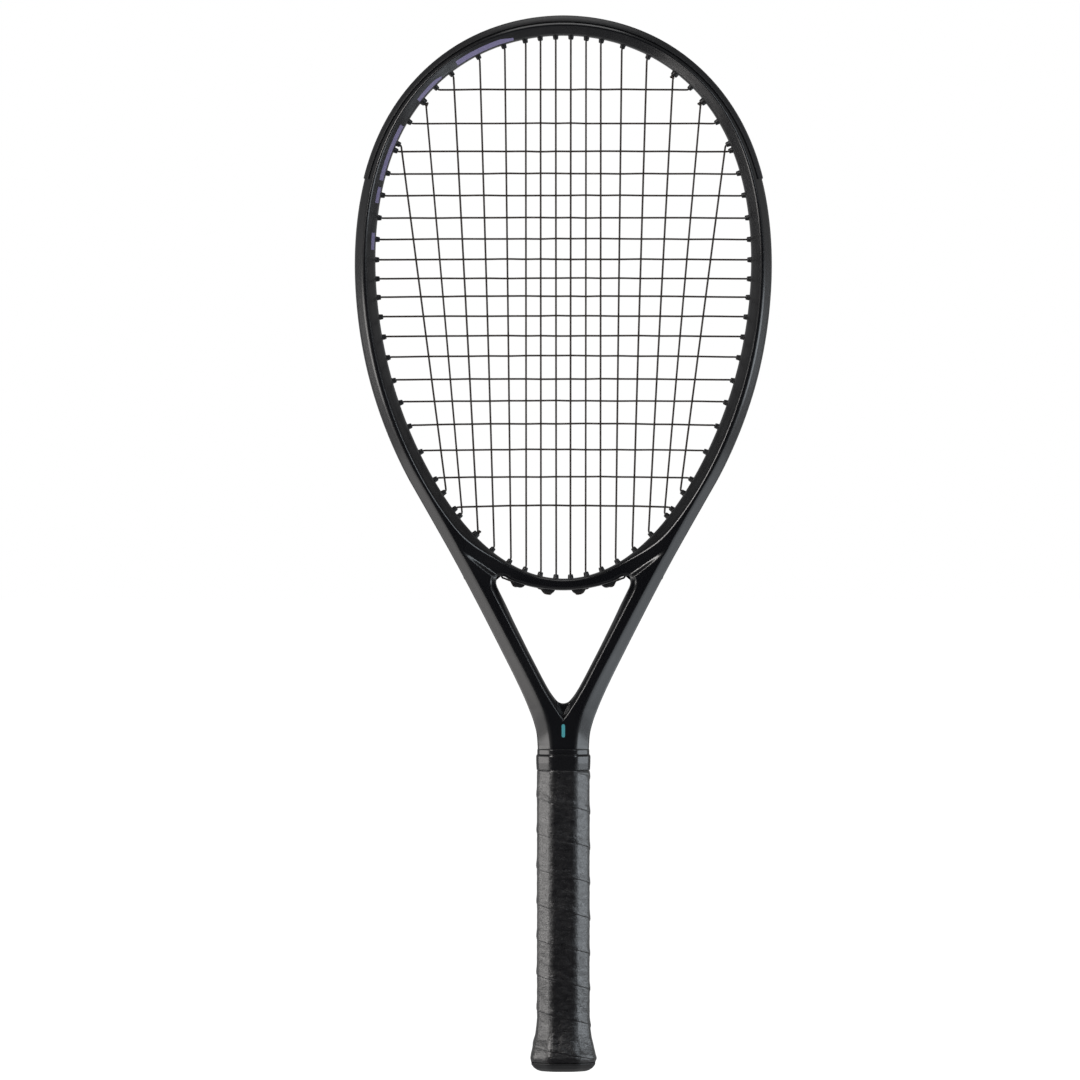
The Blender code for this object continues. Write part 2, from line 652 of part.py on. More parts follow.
def build_handle():
    a, b = HANDLE_HALF
    sa, sb = SEAT_HALF
    ca, cb = 12.0 + GAP, 9.6 + GAP
    for sign, name in ((-1, "pallet_front"), (1, "pallet_back")):
        rings = []
        for z, oa, ob in ((12.5, sa, sb), (34.3, sa, sb), (35.2, a, b), (204.5, a, b)):
            ring = [(oa, 0.15), (oa, OCT_Y * ob), (OCT_X * oa, ob), (-OCT_X * oa, ob),
                    (-oa, OCT_Y * ob), (-oa, 0.15), (-ca, 0.15), (-ca, OCT_Y * cb),
                    (-OCT_X * ca, cb), (OCT_X * ca, cb), (ca, OCT_Y * cb), (ca, 0.15)]
            rings.append([np.array((x, sign * y, z)) * MM for x, y in ring])
        obj = add(name, loft(name, rings), material(name + "_foam", (0.05, 0.05, 0.052), 0.6))
        legs = [block(x - 0.7, x + 0.7, min(sign * 15, sign * 10.6), max(sign * 15, sign * 10.6),
                      26.2, 27.8) for x in (-4.6, 4.6)]
        if sign < 0:
            legs.append(prism(np.array((0, -15.0, 18.5)) * MM, np.array((0, -10.6, 18.5)) * MM,
                              np.array((1.0, 0, 0)), 1.0, 8))
        cut(obj, add(name + "_staple_holes", merged(name + "_staple_holes", legs), helper=True))

    cap = add("butt_cap", sleeve("butt_cap",
              ((0, 12.5, 10.8), (1.0, 16.5, 14.6), (2.5, 19.4, 17.4), (4.8, 21.2, 19.2),
               (6.0, 21.3, 19.3), (6.1, 19.9, 18.0), (10.0, 20.0, 18.1), (13.5, 18.7, 16.8),
               (18.0, 17.4, 15.5), (24.0, 16.3, 14.4), (34.0, a, b)),
              ((0, 9.0, 7.0), (3.0, 9.0, 7.0), (3.4, 10.5, 8.5), (11.9, 10.5, 8.5),
               (12.2, sa + GAP, sb + GAP), (34.0, sa + GAP, sb + GAP))),
              material("butt_cap_nylon", (0.022, 0.022, 0.024), 0.45))
    recess = [block(-5.4, 5.4, *sorted((sign * 15.6, sign * 13.35)), 26.2, 27.8) for sign in (-1, 1)]
    # each recess meets its leg holes inside the wall, so the holes are cut in a second pass
    through = []
    for sign in (-1, 1):
        for x in (-4.6, 4.6):
            through.append(block(x - 0.7, x + 0.7, *sorted((sign * 13.9, sign * 11.8)), 26.2, 27.8))
    recess.append(prism(np.array((0, -17.5, 18.5)) * MM, np.array((0, -14.2, 18.5)) * MM,
                        np.array((1.0, 0, 0)), 2.4, 8))
    through.append(prism(np.array((0, -14.8, 18.5)) * MM, np.array((0, -11.5, 18.5)) * MM,
                         np.array((1.0, 0, 0)), 1.0, 8))
    cut(cap, add("cap_recesses", merged("cap_recesses", recess), helper=True))
    cut(cap, add("cap_through_holes", merged("cap_through_holes", through), helper=True))

    door = add("butt_cap_door", loft("butt_cap_door", [octagon(0.4, 8.3, 6.3), octagon(0.8, 8.7, 6.7),
                                                       octagon(2.6, 8.7, 6.7)]),
               material("door_nylon", (0.03, 0.03, 0.032), 0.4))
    clips = [block(-8.2, -7.0, -2.6, 2.6, 1.5, 8.5), block(7.0, 8.2, -2.6, 2.6, 1.5, 8.5)]
    cut(door, add("door_clips", merged("door_clips", clips), helper=True), "UNION")

    for sign, name in ((-1, "butt_staple_front"), (1, "butt_staple_back")):
        outline = ((-5, 14.1), (5, 14.1), (5, 10.9), (4.2, 10.9), (4.2, 13.65), (-4.2, 13.65),
                   (-4.2, 10.9), (-5, 10.9))
        rings = [[np.array((x, sign * y, z)) * MM for x, y in outline] for z in (26.6, 27.4)]
        add(name, loft(name, rings), material(name + "_steel", (0.6, 0.6, 0.62), 0.3, 1.0))

    turned = ((-15.0, 2.0), (-14.5, 2.0), (-14.45, 0.6), (-11.8, 0.6), (-10.95, 0.15))
    rings = [[np.array((r * math.cos(q), y, 18.5 + r * math.sin(q))) * MM
              for q in np.linspace(0, 2 * math.pi, 9)[:-1]] for y, r in turned]
    add("grip_tack", loft("grip_tack", rings), material("tack_steel", (0.6, 0.6, 0.62), 0.3, 1.0))

    add("grip_tape", sleeve("grip_tape",
        ((6.4, 21.5, 19.6), (8.7, 21.95, 20.05), (12.7, 21.3, 19.4), (16.6, 20.4, 18.5),
         (20.6, 19.5, 17.6), (24.6, 18.7, 16.8), (28.6, 18.2, 16.3), (36.5, *GRIP_HALF),
         (198.6, *GRIP_HALF), (199.3, 16.8, 14.9), (201.2, 16.8, 14.9)),
        ((6.4, 20.25, 18.35), (10.0, 20.35, 18.45), (13.5, 19.05, 17.15), (18.0, 17.75, 15.85),
         (24.0, 16.65, 14.75), (34.0, a + GAP, b + GAP), (201.2, a + GAP, b + GAP))),
        material("grip_black", (0.02, 0.02, 0.022), 0.7))
    add("finishing_tape", sleeve("finishing_tape",
        ((201.5, 16.8, 14.9), (204.4, 16.8, 14.9)),
        ((201.5, a + GAP, b + GAP), (204.4, a + GAP, b + GAP))),
        material("tape_black", (0.02, 0.02, 0.022), 0.5))
    add("grip_collar", sleeve("grip_collar",
        ((199.8, 17.6, 15.7), (200.6, 17.95, 16.05), (208.8, 17.95, 16.05), (209.8, 17.3, 15.2),
         (214.4, 17.1, 14.5)),
        ((199.8, 17.1, 15.2), (205.0, 17.1, 15.2), (206.6, 16.6, 13.5), (214.4, 16.6, 13.5))),
        material("collar_rubber", (0.015, 0.015, 0.016), 0.3))
    for sign, name in ((-1, "tube_plug_left"), (1, "tube_plug_right")):
        p, f = block(*sorted((sign * 1.9, sign * 8.7)), -5.1, 5.1, 14.6, 44.0)
        add(name, mesh_from(name, p, f), material(name + "_foam", (0.75, 0.7, 0.55), 0.9))


def main():
    for obj in list(bpy.data.objects):
        bpy.data.objects.remove(obj, do_unlink=True)
    build_frame()
    build_bridge()
    build_bumper()
    build_side_strips()
    build_strings()
    build_handle()


main()
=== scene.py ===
import math

import bmesh
import bpy
import mathutils
import numpy as np
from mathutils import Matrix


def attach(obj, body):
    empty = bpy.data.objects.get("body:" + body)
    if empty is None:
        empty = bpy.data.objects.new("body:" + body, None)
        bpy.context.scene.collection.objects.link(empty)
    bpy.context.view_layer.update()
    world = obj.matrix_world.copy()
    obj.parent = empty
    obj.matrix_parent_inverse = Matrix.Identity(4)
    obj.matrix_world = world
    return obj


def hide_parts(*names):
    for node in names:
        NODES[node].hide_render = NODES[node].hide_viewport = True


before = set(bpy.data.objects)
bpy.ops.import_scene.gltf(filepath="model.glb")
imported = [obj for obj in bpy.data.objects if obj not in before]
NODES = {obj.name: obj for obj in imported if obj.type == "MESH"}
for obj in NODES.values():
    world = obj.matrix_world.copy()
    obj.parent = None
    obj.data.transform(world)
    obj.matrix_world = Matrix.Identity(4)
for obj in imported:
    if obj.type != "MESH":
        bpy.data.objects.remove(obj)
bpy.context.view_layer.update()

MM = 0.001

# ------------------------------------------------------------------ camera

cam_data = bpy.data.cameras.new("camera")
cam_data.lens = 301.5
cam_data.sensor_width = 36.0
cam_data.clip_end = 60.0
cam = bpy.data.objects.new("camera", cam_data)
bpy.context.scene.collection.objects.link(cam)
cam.location = (-0.01545, -6.0, 0.3523)
cam.rotation_euler = (math.pi / 2, 0.0, 0.0)
bpy.context.scene.camera = cam

# ------------------------------------------------------------------ the racket's curves (mm)

HEAD_X = (124.277, 5.525, 0.738, -2.685, -0.611, -0.384)
HEAD_Z = (510.876, 180.02, -0.081, 0.218, -3.859, -0.139, -0.117)
RING_WIDTH = ((0.0, 11.5), (0.6, 11.5), (1.1, 12.8), (1.5, 13.8), (1.9, 14.5), (2.3, 14.5))
T_SPLIT = 2.27
SHAFT_OUTER = ((14.0, 16.3), (207.0, 16.3), (209.0, 16.3), (213.6, 16.95), (217.0, 17.15),
               (219.6, 17.3), (223.6, 17.7), (231.5, 19.6), (239.5, 22.5), (247.5, 25.8),
               (259.4, 31.3), (279.3, 41.2), (299.2, 51.3), (317.8, 60.9), (339.0, 72.2),
               (365.5, 87.1))
HALF_BEAM = ((14.0, 13.2), (207.0, 13.2), (216.0, 13.2), (240.0, 12.6),
             (300.0, 13.2), (400.0, 14.0), (535.0, 14.0), (700.0, 12.6))
# half of the throat's opening, from the middle of the bridge to the crotch
THROAT = ((0, 318.9), (10, 319.4), (20, 321.0), (28, 323.0), (33, 324.7), (36, 326.2), (38.2, 327.6),
          (40.4, 328.3), (42.6, 327.8), (44.1, 326.1), (44.5, 323.9), (43.9, 321.4), (42.5, 318.4),
          (38.0, 309.3), (33.3, 299.2), (28.4, 289.2), (23.5, 279.3), (18.4, 269.4),
          (13.2, 259.4), (9.0, 252.0), (5.9, 247.6), (3.2, 244.8), (0, 243.9))
CROTCH_Z = 243.9
BRIDGE_X = 40.3
MAINS_TOP = (5.0, 15.1, 24.9, 38.8, 55.4, 72.8, 91.1, 107.6)
MAINS_BOTTOM = (4.7, 14.8, 24.6, 34.7, 45.8, 56.6, 67.1, 77.7)
CROSSES = (650.9, 628.5, 609.9, 595.0, 580.6, 565.8, 551.6, 538.2, 525.6, 513.4, 500.5,
           487.3, 473.7, 458.6, 444.1, 428.5, 411.7, 393.6, 374.1)
TIP, TURN = 2.6, 3.0
STRING_R = 0.65
WALL_IN, WALL_OUT, BEVEL_IN = 5.0, 6.8, 6.2
GROOVE_DEPTH = 3.4
BASE_IN, BASE_OUT = 3.1, 2.2
BUMPER_END_Z = 589.0
GRIP_HALF = (17.6, 15.7)
OCT_X, OCT_Y = 0.485, 0.42


def spline_of(table):
    """Monotone cubic through a small table, for whole arrays."""
    xs, ys = np.array(table, float).T
    h = np.diff(xs)
    d = np.diff(ys) / h
    m = np.empty(len(xs))
    m[0], m[-1] = d[0], d[-1]
    for i in range(1, len(xs) - 1):
        if d[i - 1] * d[i] <= 0:
            m[i] = 0.0
        else:
            w1, w2 = 2 * h[i] + h[i - 1], h[i] + 2 * h[i - 1]
            m[i] = (w1 + w2) / (w1 / d[i - 1] + w2 / d[i])

    def f(x):
        x = np.clip(np.asarray(x, float), xs[0], xs[-1])
        i = np.minimum(np.searchsorted(xs, x, side="right") - 1, len(h) - 1)
        s = (x - xs[i]) / h[i]
        return ((2 * s**3 - 3 * s**2 + 1) * ys[i] + (s**3 - 2 * s**2 + s) * h[i] * m[i]
                + (-2 * s**3 + 3 * s**2) * ys[i + 1] + (s**3 - s**2) * h[i] * m[i + 1])
    return f


ring_width = spline_of(RING_WIDTH)
half_beam = spline_of(HALF_BEAM)


def head(t):
    t = np.asarray(t, float)
    x = sum(a * np.sin((k + 1) * t) for k, a in enumerate(HEAD_X))
    z = sum(b * np.cos(k * t) for k, b in enumerate(HEAD_Z))
    return np.stack([x, z + 0 * x], -1)


def outward(t):
    t = np.asarray(t, float)
    dx = sum((k + 1) * a * np.cos((k + 1) * t) for k, a in enumerate(HEAD_X))
    dz = sum(-k * b * np.sin(k * t) for k, b in enumerate(HEAD_Z)) + 0 * dx
    n = np.stack([-dz, dx], -1)
    return n / np.linalg.norm(n, axis=-1, keepdims=True)


def hoop_outer(t):
    return head(t) + outward(t) * np.asarray(ring_width(t))[..., None]


SPLIT = hoop_outer(T_SPLIT)
SPLIT_SLOPE = (hoop_outer(T_SPLIT) - hoop_outer(T_SPLIT - 0.02))
OUTER_TABLE = SHAFT_OUTER + ((float(SPLIT[1]), float(SPLIT[0])),)
outer_x = spline_of(OUTER_TABLE)


def shaft_outer(z):
    z = np.asarray(z, float)
    return np.stack([outer_x(z), z], -1)


def catmull(points, per=24):
    """Dense smooth polyline through points (centripetal Catmull-Rom); the ends mirror in x."""
    p = np.array(points, float)
    p = np.vstack([p[1] * (-1, 1), p, p[-2] * (-1, 1)])
    out = []
    for i in range(1, len(p) - 2):
        p0, p1, p2, p3 = p[i - 1:i + 3]
        t0 = 0.0
        t1 = t0 + np.linalg.norm(p1 - p0) ** 0.5
        t2 = t1 + np.linalg.norm(p2 - p1) ** 0.5
        t3 = t2 + np.linalg.norm(p3 - p2) ** 0.5
        for t in np.linspace(t1, t2, per, endpoint=False):
            a1 = (t1 - t) / (t1 - t0) * p0 + (t - t0) / (t1 - t0) * p1
            a2 = (t2 - t) / (t2 - t1) * p1 + (t - t1) / (t2 - t1) * p2
            a3 = (t3 - t) / (t3 - t2) * p2 + (t - t2) / (t3 - t2) * p3
            b1 = (t2 - t) / (t2 - t0) * a1 + (t - t0) / (t2 - t0) * a2
            b2 = (t3 - t) / (t3 - t1) * a2 + (t - t1) / (t3 - t1) * a3
            out.append((t2 - t) / (t2 - t1) * b1 + (t - t1) / (t2 - t1) * b2)
    out.append(p[-2])
    return np.array(out)


def by_length(points):
    """f(0..1) along a polyline."""
    s = np.concatenate([[0], np.cumsum(np.linalg.norm(np.diff(points, axis=0), axis=1))])
    s /= s[-1]
    return lambda u: np.stack([np.interp(u, s, points[:, 0]), np.interp(u, s, points[:, 1])], -1)


GRID = np.linspace(0.0, math.pi, 2401)
HEADS = head(GRID)
TIPS = HEADS - outward(GRID) * TURN
LOW = HEADS[:, 1] < 480.0
T_JOINT = float(np.interp(-BRIDGE_X, -HEADS[LOW, 0], GRID[LOW]))
T_BUMPER = float(np.interp(-BUMPER_END_Z, -HEADS[:, 1], GRID))
throat_line = catmull(THROAT)
k_low = int(np.argmin(np.linalg.norm(throat_line - np.array([41.4, 328.25]), axis=1)))
JOINT_LOW = throat_line[k_low]
under_bridge = by_length(throat_line[:k_low + 1][::-1])     # 0 at the joint, 1 at the middle
shaft_inner = by_length(throat_line[k_low:])                # 0 at the joint, 1 at the crotch

OUTLINE = np.vstack([hoop_outer(np.linspace(0, T_SPLIT, 500)),
                     shaft_outer(np.linspace(SPLIT[1], 200.0, 500)[1:])])
UNDER = throat_line[:k_low + 1]


def distance(points, line):
    """Shortest distance of points to a polyline in the plane, 99 where it is over 16 mm."""
    out = np.full(len(points), 99.0)
    a, b = line[:-1], line[1:]
    e = b - a
    ee = np.maximum((e**2).sum(1), 1e-12)
    low, high = np.minimum(a, b), np.maximum(a, b)
    cell = np.floor(points[:, 1] / 7.0) * 1000 + np.floor(points[:, 0] / 7.0)
    order = np.argsort(cell, kind="stable")
    cuts = np.flatnonzero(np.diff(cell[order])) + 1
    for idx in np.split(order, cuts):
        p = points[idx]
        p0, p1 = p.min(0) - 16.0, p.max(0) + 16.0
        keep = ((high >= p0) & (low <= p1)).all(1)
        if not keep.any():
            continue
        ak, ek, eek = a[keep], e[keep], ee[keep]
        d = p[:, None, :] - ak[None]
        u = np.clip((d * ek[None]).sum(2) / eek[None], 0, 1)
        out[idx] = np.sqrt(((d - u[..., None] * ek[None]) ** 2).sum(2).min(1))
    return out


def smooth_step(x):
    x = np.clip(x, 0, 1)
    return x * x * (3 - 2 * x)


def smooth_min(a, b, k):
    h = np.maximum(k - np.abs(a - b), 0) / k
    return np.minimum(a, b) - h * h * k / 4


def edge_profile(d, wall, top, width, r=1.3, drop=1.25):
    s = np.clip(d / r, 0, 1)
    return wall - drop + drop * np.sqrt(np.maximum(0, 1 - (1 - s) ** 2)) + (top - wall) * d / width


def crest(p):
    """Height of the middle panel: the bridge is thinner, and a crease parts it from each shaft."""
    x, z = np.abs(p[:, 0]), p[:, 1]
    top = np.asarray(half_beam(z))
    e = (-(x - 44.0) * 0.588 + (z - 327.5) * 0.809)          # over the crease, towards the head
    in_bridge = (1 - smooth_step((x - 36.0) / 38.0)) * smooth_step(e / 3.2 + 0.5) * (z < 372)
    return top - (top - 9.7) * in_bridge


HEAD_LINE = HEADS[::3]


def height(points):
    """Half thickness of the frame at points (|x|, z) of its outline, in mm."""
    p = np.asarray(points, float)
    p = np.stack([np.abs(p[:, 0]), p[:, 1]], 1)
    top = crest(p)
    z = p[:, 1]
    d_out = distance(p, OUTLINE)
    bo = np.interp(z, (216, 238, 256, 275, 330, 420), (8.9, 8.6, 7.7, 7.0, 6.2, 5.4))
    wo = np.interp(z, (216, 240), (OCT_Y * 13.2, WALL_OUT))
    full = np.asarray(half_beam(z))
    g = edge_profile(d_out, wo, full, bo)
    near_head = z > 318
    d_in = np.full(len(p), 99.0)
    if near_head.any():
        d_in[near_head] = distance(p[near_head], HEAD_LINE)
    over = (1 - smooth_step((np.abs(p[:, 0]) - 34) / 34)) * near_head * (z < 360)
    inner = edge_profile(d_in, WALL_IN + 1.6 * over, full, BEVEL_IN - 2.8 * over)
    near = (z < 372)
    d_tri = np.full(len(p), 99.0)
    if near.any():
        d_tri[near] = distance(p[near], throat_line)
    # the inner bevels of the shafts meet in a sharp V below the rounded crotch
    v = (1.934 * np.abs(p[:, 0]) - (z - 236.2)) / 2.177
    lower = np.clip((316.0 - z) / 6.0, 0, 1)
    d_bev = np.maximum(0, v * lower + d_tri * (1 - lower))
    s = np.clip(d_tri / 1.3, 0, 1)
    tri = 7.2 - 1.25 * (1 - np.sqrt(np.maximum(0, 1 - (1 - s) ** 2))) + (full - 7.2) * d_bev / np.interp(z, (234, 238, 246, 256), (1.2, 1.9, 2.7, 3.3))
    out = smooth_min(g, inner, 1.6)
    out = smooth_min(out, top, 1.5)
    return smooth_min(out, tri, 2.6)


# ------------------------------------------------------------------ mesh helpers


def new_object(name, mesh, body="racket", material=None):
    obj = bpy.data.objects.new(name, mesh)
    bpy.context.scene.collection.objects.link(obj)
    if material:
        obj.data.materials.append(material)
    if body:
        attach(obj, body)
    return obj


def build_mesh(name, verts, faces, merge=None, sharp=35.0, recalc=True, kind=None):
    mesh = bpy.data.meshes.new(name)
    mesh.from_pydata([tuple(v) for v in np.asarray(verts, float).tolist()], [],
                     [tuple(int(i) for i in f) for f in faces])
    if kind is not None:
        mesh.polygons.foreach_set("material_index", kind)
    bm = bmesh.new()
    bm.from_mesh(mesh)
    if merge:
        bmesh.ops.remove_doubles(bm, verts=bm.verts, dist=merge)
        bmesh.ops.dissolve_degenerate(bm, dist=1e-7, edges=bm.edges)
    if recalc:
        bmesh.ops.recalc_face_normals(bm, faces=bm.faces)
    bm.to_mesh(mesh)
    bm.free()
    mesh.shade_smooth()
    if sharp:
        mesh.set_sharp_from_angle(angle=math.radians(sharp))
    return mesh


def grid_faces(rows, cols, base=0, close_rows=False, close_cols=False, flip=False):
    out = []
    for i in range(rows if close_rows else rows - 1):
        for j in range(cols if close_cols else cols - 1):
            a = base + i * cols + j
            b = base + i * cols + (j + 1) % cols
            c = base + ((i + 1) % rows) * cols + (j + 1) % cols
            d = base + ((i + 1) % rows) * cols + j
            out.append((a, d, c, b) if flip else (a, b, c, d))
    return out


class Shell:
    """Collects vertices and faces of one mesh."""

    def __init__(self):
        self.v, self.f, self.n, self.kind = [], [], 0, []

    def grid(self, g, flip=False, close_rows=False, close_cols=False, kind=0):
        g = np.asarray(g, float)
        r, c = g.shape[:2]
        self.v.append(g.reshape(-1, 3))
        more = grid_faces(r, c, self.n, close_rows, close_cols, flip)
        self.f += more
        self.kind += [kind] * len(more)
        self.n += r * c

    def fan(self, ring, flip=False):
        ring = np.asarray(ring, float)
        self.v.append(ring)
        idx = list(range(self.n, self.n + len(ring)))
        self.f.append(tuple(reversed(idx)) if flip else tuple(idx))
        self.kind.append(0)
        self.n += len(ring)

    def mesh(self, name, **kw):
        return build_mesh(name, np.vstack(self.v) * MM, self.f, **kw)


def tube(shell, path, radii, sides=10, caps=True):
    """A swept round tube along a path (mm)."""
    p = np.asarray(path, float)
    n = len(p)
    radii = np.broadcast_to(np.asarray(radii, float), (n,))
    tan = np.gradient(p, axis=0)
    tan /= np.linalg.norm(tan, axis=1, keepdims=True)
    u = np.cross(tan[0], (0.0, 1.0, 0.0))
    if np.linalg.norm(u) < 1e-3:
        u = np.cross(tan[0], (1.0, 0.0, 0.0))
    u /= np.linalg.norm(u)
    rings = []
    q = np.linspace(0, 2 * math.pi, sides, endpoint=False)
    for i in range(n):
        u = u - tan[i] * np.dot(u, tan[i])
        u /= np.linalg.norm(u)
        v = np.cross(tan[i], u)
        rings.append(p[i] + radii[i] * (np.cos(q)[:, None] * u + np.sin(q)[:, None] * v))
    shell.grid(rings, close_cols=True)
    if caps:
        shell.fan(rings[0], flip=False)
        shell.fan(rings[-1], flip=True)


# PART_B
# ------------------------------------------------------------------ materials


def shader(name, colour, rough, metal=0.0, coat=0.0, spec=0.5, coat_rough=0.08):
    m = bpy.data.materials.new(name)
    m.use_nodes = True
    nt = m.node_tree
    b = nt.nodes["Principled BSDF"]
    b.inputs["Base Color"].default_value = (*colour, 1)
    b.inputs["Roughness"].default_value = rough
    b.inputs["Metallic"].default_value = metal
    b.inputs["Specular IOR Level"].default_value = spec
    b.inputs["Coat Weight"].default_value = coat
    b.inputs["Coat Roughness"].default_value = coat_rough
    return m, nt, b


def place(nt, scale=(1, 1, 1)):
    geo = nt.nodes.new("ShaderNodeTexCoord")
    mp = nt.nodes.new("ShaderNodeMapping")
    mp.inputs["Scale"].default_value = scale
    nt.links.new(geo.outputs["Object"], mp.inputs["Vector"])
    return mp.outputs["Vector"]


def noise(nt, vec, scale, detail=4, rough=0.5):
    n = nt.nodes.new("ShaderNodeTexNoise")
    n.inputs["Scale"].default_value = scale
    n.inputs["Detail"].default_value = detail
    n.inputs["Roughness"].default_value = rough
    nt.links.new(vec, n.inputs["Vector"])
    return n.outputs["Fac"]


def remap(nt, fac, lo, hi, a=0.3, b=0.7):
    m = nt.nodes.new("ShaderNodeMapRange")
    m.inputs["From Min"].default_value = a
    m.inputs["From Max"].default_value = b
    m.inputs["To Min"].default_value = lo
    m.inputs["To Max"].default_value = hi
    nt.links.new(fac, m.inputs["Value"])
    return m.outputs["Result"]


def tint(nt, fac, c1, c2, a=0.3, b=0.7):
    r = nt.nodes.new("ShaderNodeMix")
    r.data_type = "RGBA"
    r.inputs["A"].default_value = (*c1, 1)
    r.inputs["B"].default_value = (*c2, 1)
    nt.links.new(remap(nt, fac, 0, 1, a, b), r.inputs["Factor"])
    return r.outputs["Result"]


def bump(nt, b, heights, strength=0.3, distance=0.0002):
    prev = None
    for h, s, d in heights:
        n = nt.nodes.new("ShaderNodeBump")
        n.inputs["Strength"].default_value = s
        n.inputs["Distance"].default_value = d
        nt.links.new(h, n.inputs["Height"])
        if prev is not None:
            nt.links.new(prev, n.inputs["Normal"])
        prev = n.outputs["Normal"]
    nt.links.new(prev, b.inputs["Normal"])
    return prev


def simple(name, colour, rough, metal=0.0, coat=0.0, grain=900.0, depth=0.00003, vary=0.08, spec=0.5):
    """Plain colour with a fine grain: roughness, colour and relief vary a little."""
    m, nt, b = shader(name, colour, rough, metal, coat, spec)
    v = place(nt)
    fine = noise(nt, v, grain, 3)
    broad = noise(nt, v, 38.0, 3)
    dark = tuple(c * (1 - vary) for c in colour)
    light = tuple(min(1, c * (1 + vary) + 0.001) for c in colour)
    nt.links.new(tint(nt, broad, dark, light), b.inputs["Base Color"])
    nt.links.new(remap(nt, fine, rough * 0.9, min(1, rough * 1.1)), b.inputs["Roughness"])
    bump(nt, b, ((fine, 0.35, depth),))
    return m


def frame_paint():
    m, nt, b = shader("frame_paint", (0.005, 0.005, 0.006), 0.27, 0.0, 0.35, 0.55, 0.12)
    v = place(nt)
    peel = noise(nt, v, 420.0, 2)
    broad = noise(nt, v, 22.0, 3)
    nt.links.new(tint(nt, broad, (0.0020, 0.0021, 0.0030), (0.0032, 0.0033, 0.0044)), b.inputs["Base Color"])
    nt.links.new(remap(nt, broad, 0.24, 0.31), b.inputs["Roughness"])
    bump(nt, b, ((peel, 0.06, 0.00001),))
    return m


PAINT = frame_paint()
BUMPER = simple("bumper_nylon", (0.007, 0.007, 0.008), 0.42, grain=1400.0, depth=0.00004)
GROMMET = simple("grommet_nylon", (0.007, 0.007, 0.008), 0.40, grain=1600.0, depth=0.00003)
MAIN_POLY = simple("main_string_poly", (0.027, 0.021, 0.018), 0.33, grain=700.0, depth=0.00002, vary=0.12)
CROSS_POLY = simple("cross_string_poly", (0.027, 0.021, 0.018), 0.33, grain=700.0, depth=0.00002, vary=0.12)
LAVENDER = simple("lavender_paint", (0.135, 0.12, 0.22), 0.38, grain=600.0, depth=0.00001, vary=0.04)
TEAL = simple("teal_paint", (0.05, 0.25, 0.28), 0.35, grain=600.0, depth=0.00001, vary=0.04)
RUBBER = simple("collar_rubber", (0.005, 0.005, 0.006), 0.24, grain=1500.0, depth=0.00002, spec=0.6)
CAP_NYLON = simple("butt_cap_nylon", (0.009, 0.009, 0.01), 0.42, grain=1300.0, depth=0.00004)
DOOR_NYLON = simple("door_nylon", (0.022, 0.022, 0.024), 0.38, grain=1300.0, depth=0.00004)
FOAM = simple("pallet_foam", (0.045, 0.045, 0.047), 0.62, grain=500.0, depth=0.00012)
PLUG_FOAM = simple("plug_foam", (0.72, 0.66, 0.50), 0.9, grain=600.0, depth=0.0002)
STEEL = simple("steel", (0.58, 0.58, 0.60), 0.28, 1.0, grain=900.0, depth=0.00001, vary=0.03)
TAPE = simple("finishing_tape", (0.016, 0.016, 0.018), 0.5, grain=1100.0, depth=0.00005)


def grip_material():
    m, nt, b = shader("grip_black", (0.006, 0.006, 0.007), 0.34, 0.0, 0.3, 1.0, 0.3)
    v = place(nt)
    wrinkle = noise(nt, place(nt, (1.0, 1.0, 1.9)), 210.0, 5, 0.62)
    grain = noise(nt, v, 1500.0, 3, 0.6)
    broad = noise(nt, v, 60.0, 3)
    nt.links.new(tint(nt, broad, (0.0024, 0.0023, 0.0032), (0.0050, 0.0048, 0.0058)), b.inputs["Base Color"])
    nt.links.new(remap(nt, wrinkle, 0.26, 0.44), b.inputs["Roughness"])
    fold = noise(nt, place(nt, (1.0, 1.0, 0.55)), 120.0, 3, 0.55)
    bump(nt, b, ((fold, 0.6, 0.0012), (wrinkle, 0.7, 0.0007), (grain, 0.35, 0.0001)))
    return m


GRIP = grip_material()

# ------------------------------------------------------------------ frame and bridge

ROWS = np.concatenate([1.3 * (1 - np.cos(np.linspace(0, math.pi / 2, 6)))[:-1] * 1.0, [1.3]])


def columns(width):
    """Distances from the inner to the outer edge: close together along both edges."""
    near, far = min(8.5, width * 0.42), width - min(10.5, width * 0.44)
    return np.concatenate([ROWS, np.linspace(1.3, near, 13)[1:], np.linspace(near, far, 13)[1:],
                           np.linspace(far, width - 1.3, 13)[1:], (width - ROWS)[::-1][1:]])


def frac(width=12.0):
    c = columns(width)
    return c / width


F = frac()
NC = len(F)


def strip(ins, outs, cols=F):
    """Points across from ins to outs: (station, column, 2), corner rows kept to real size."""
    w = np.linalg.norm(outs - ins, axis=1)
    u = (outs - ins) / w[:, None]
    grid = np.empty((len(ins), len(cols), 2))
    for i, width in enumerate(w):
        c = columns(width)
        grid[i] = ins[i] + np.outer(c, u[i])
    return grid


def lift(grid):
    h = height(grid.reshape(-1, 2)).reshape(grid.shape[:2])
    return np.stack([grid[..., 0], -h, grid[..., 1]], -1)      # the front face


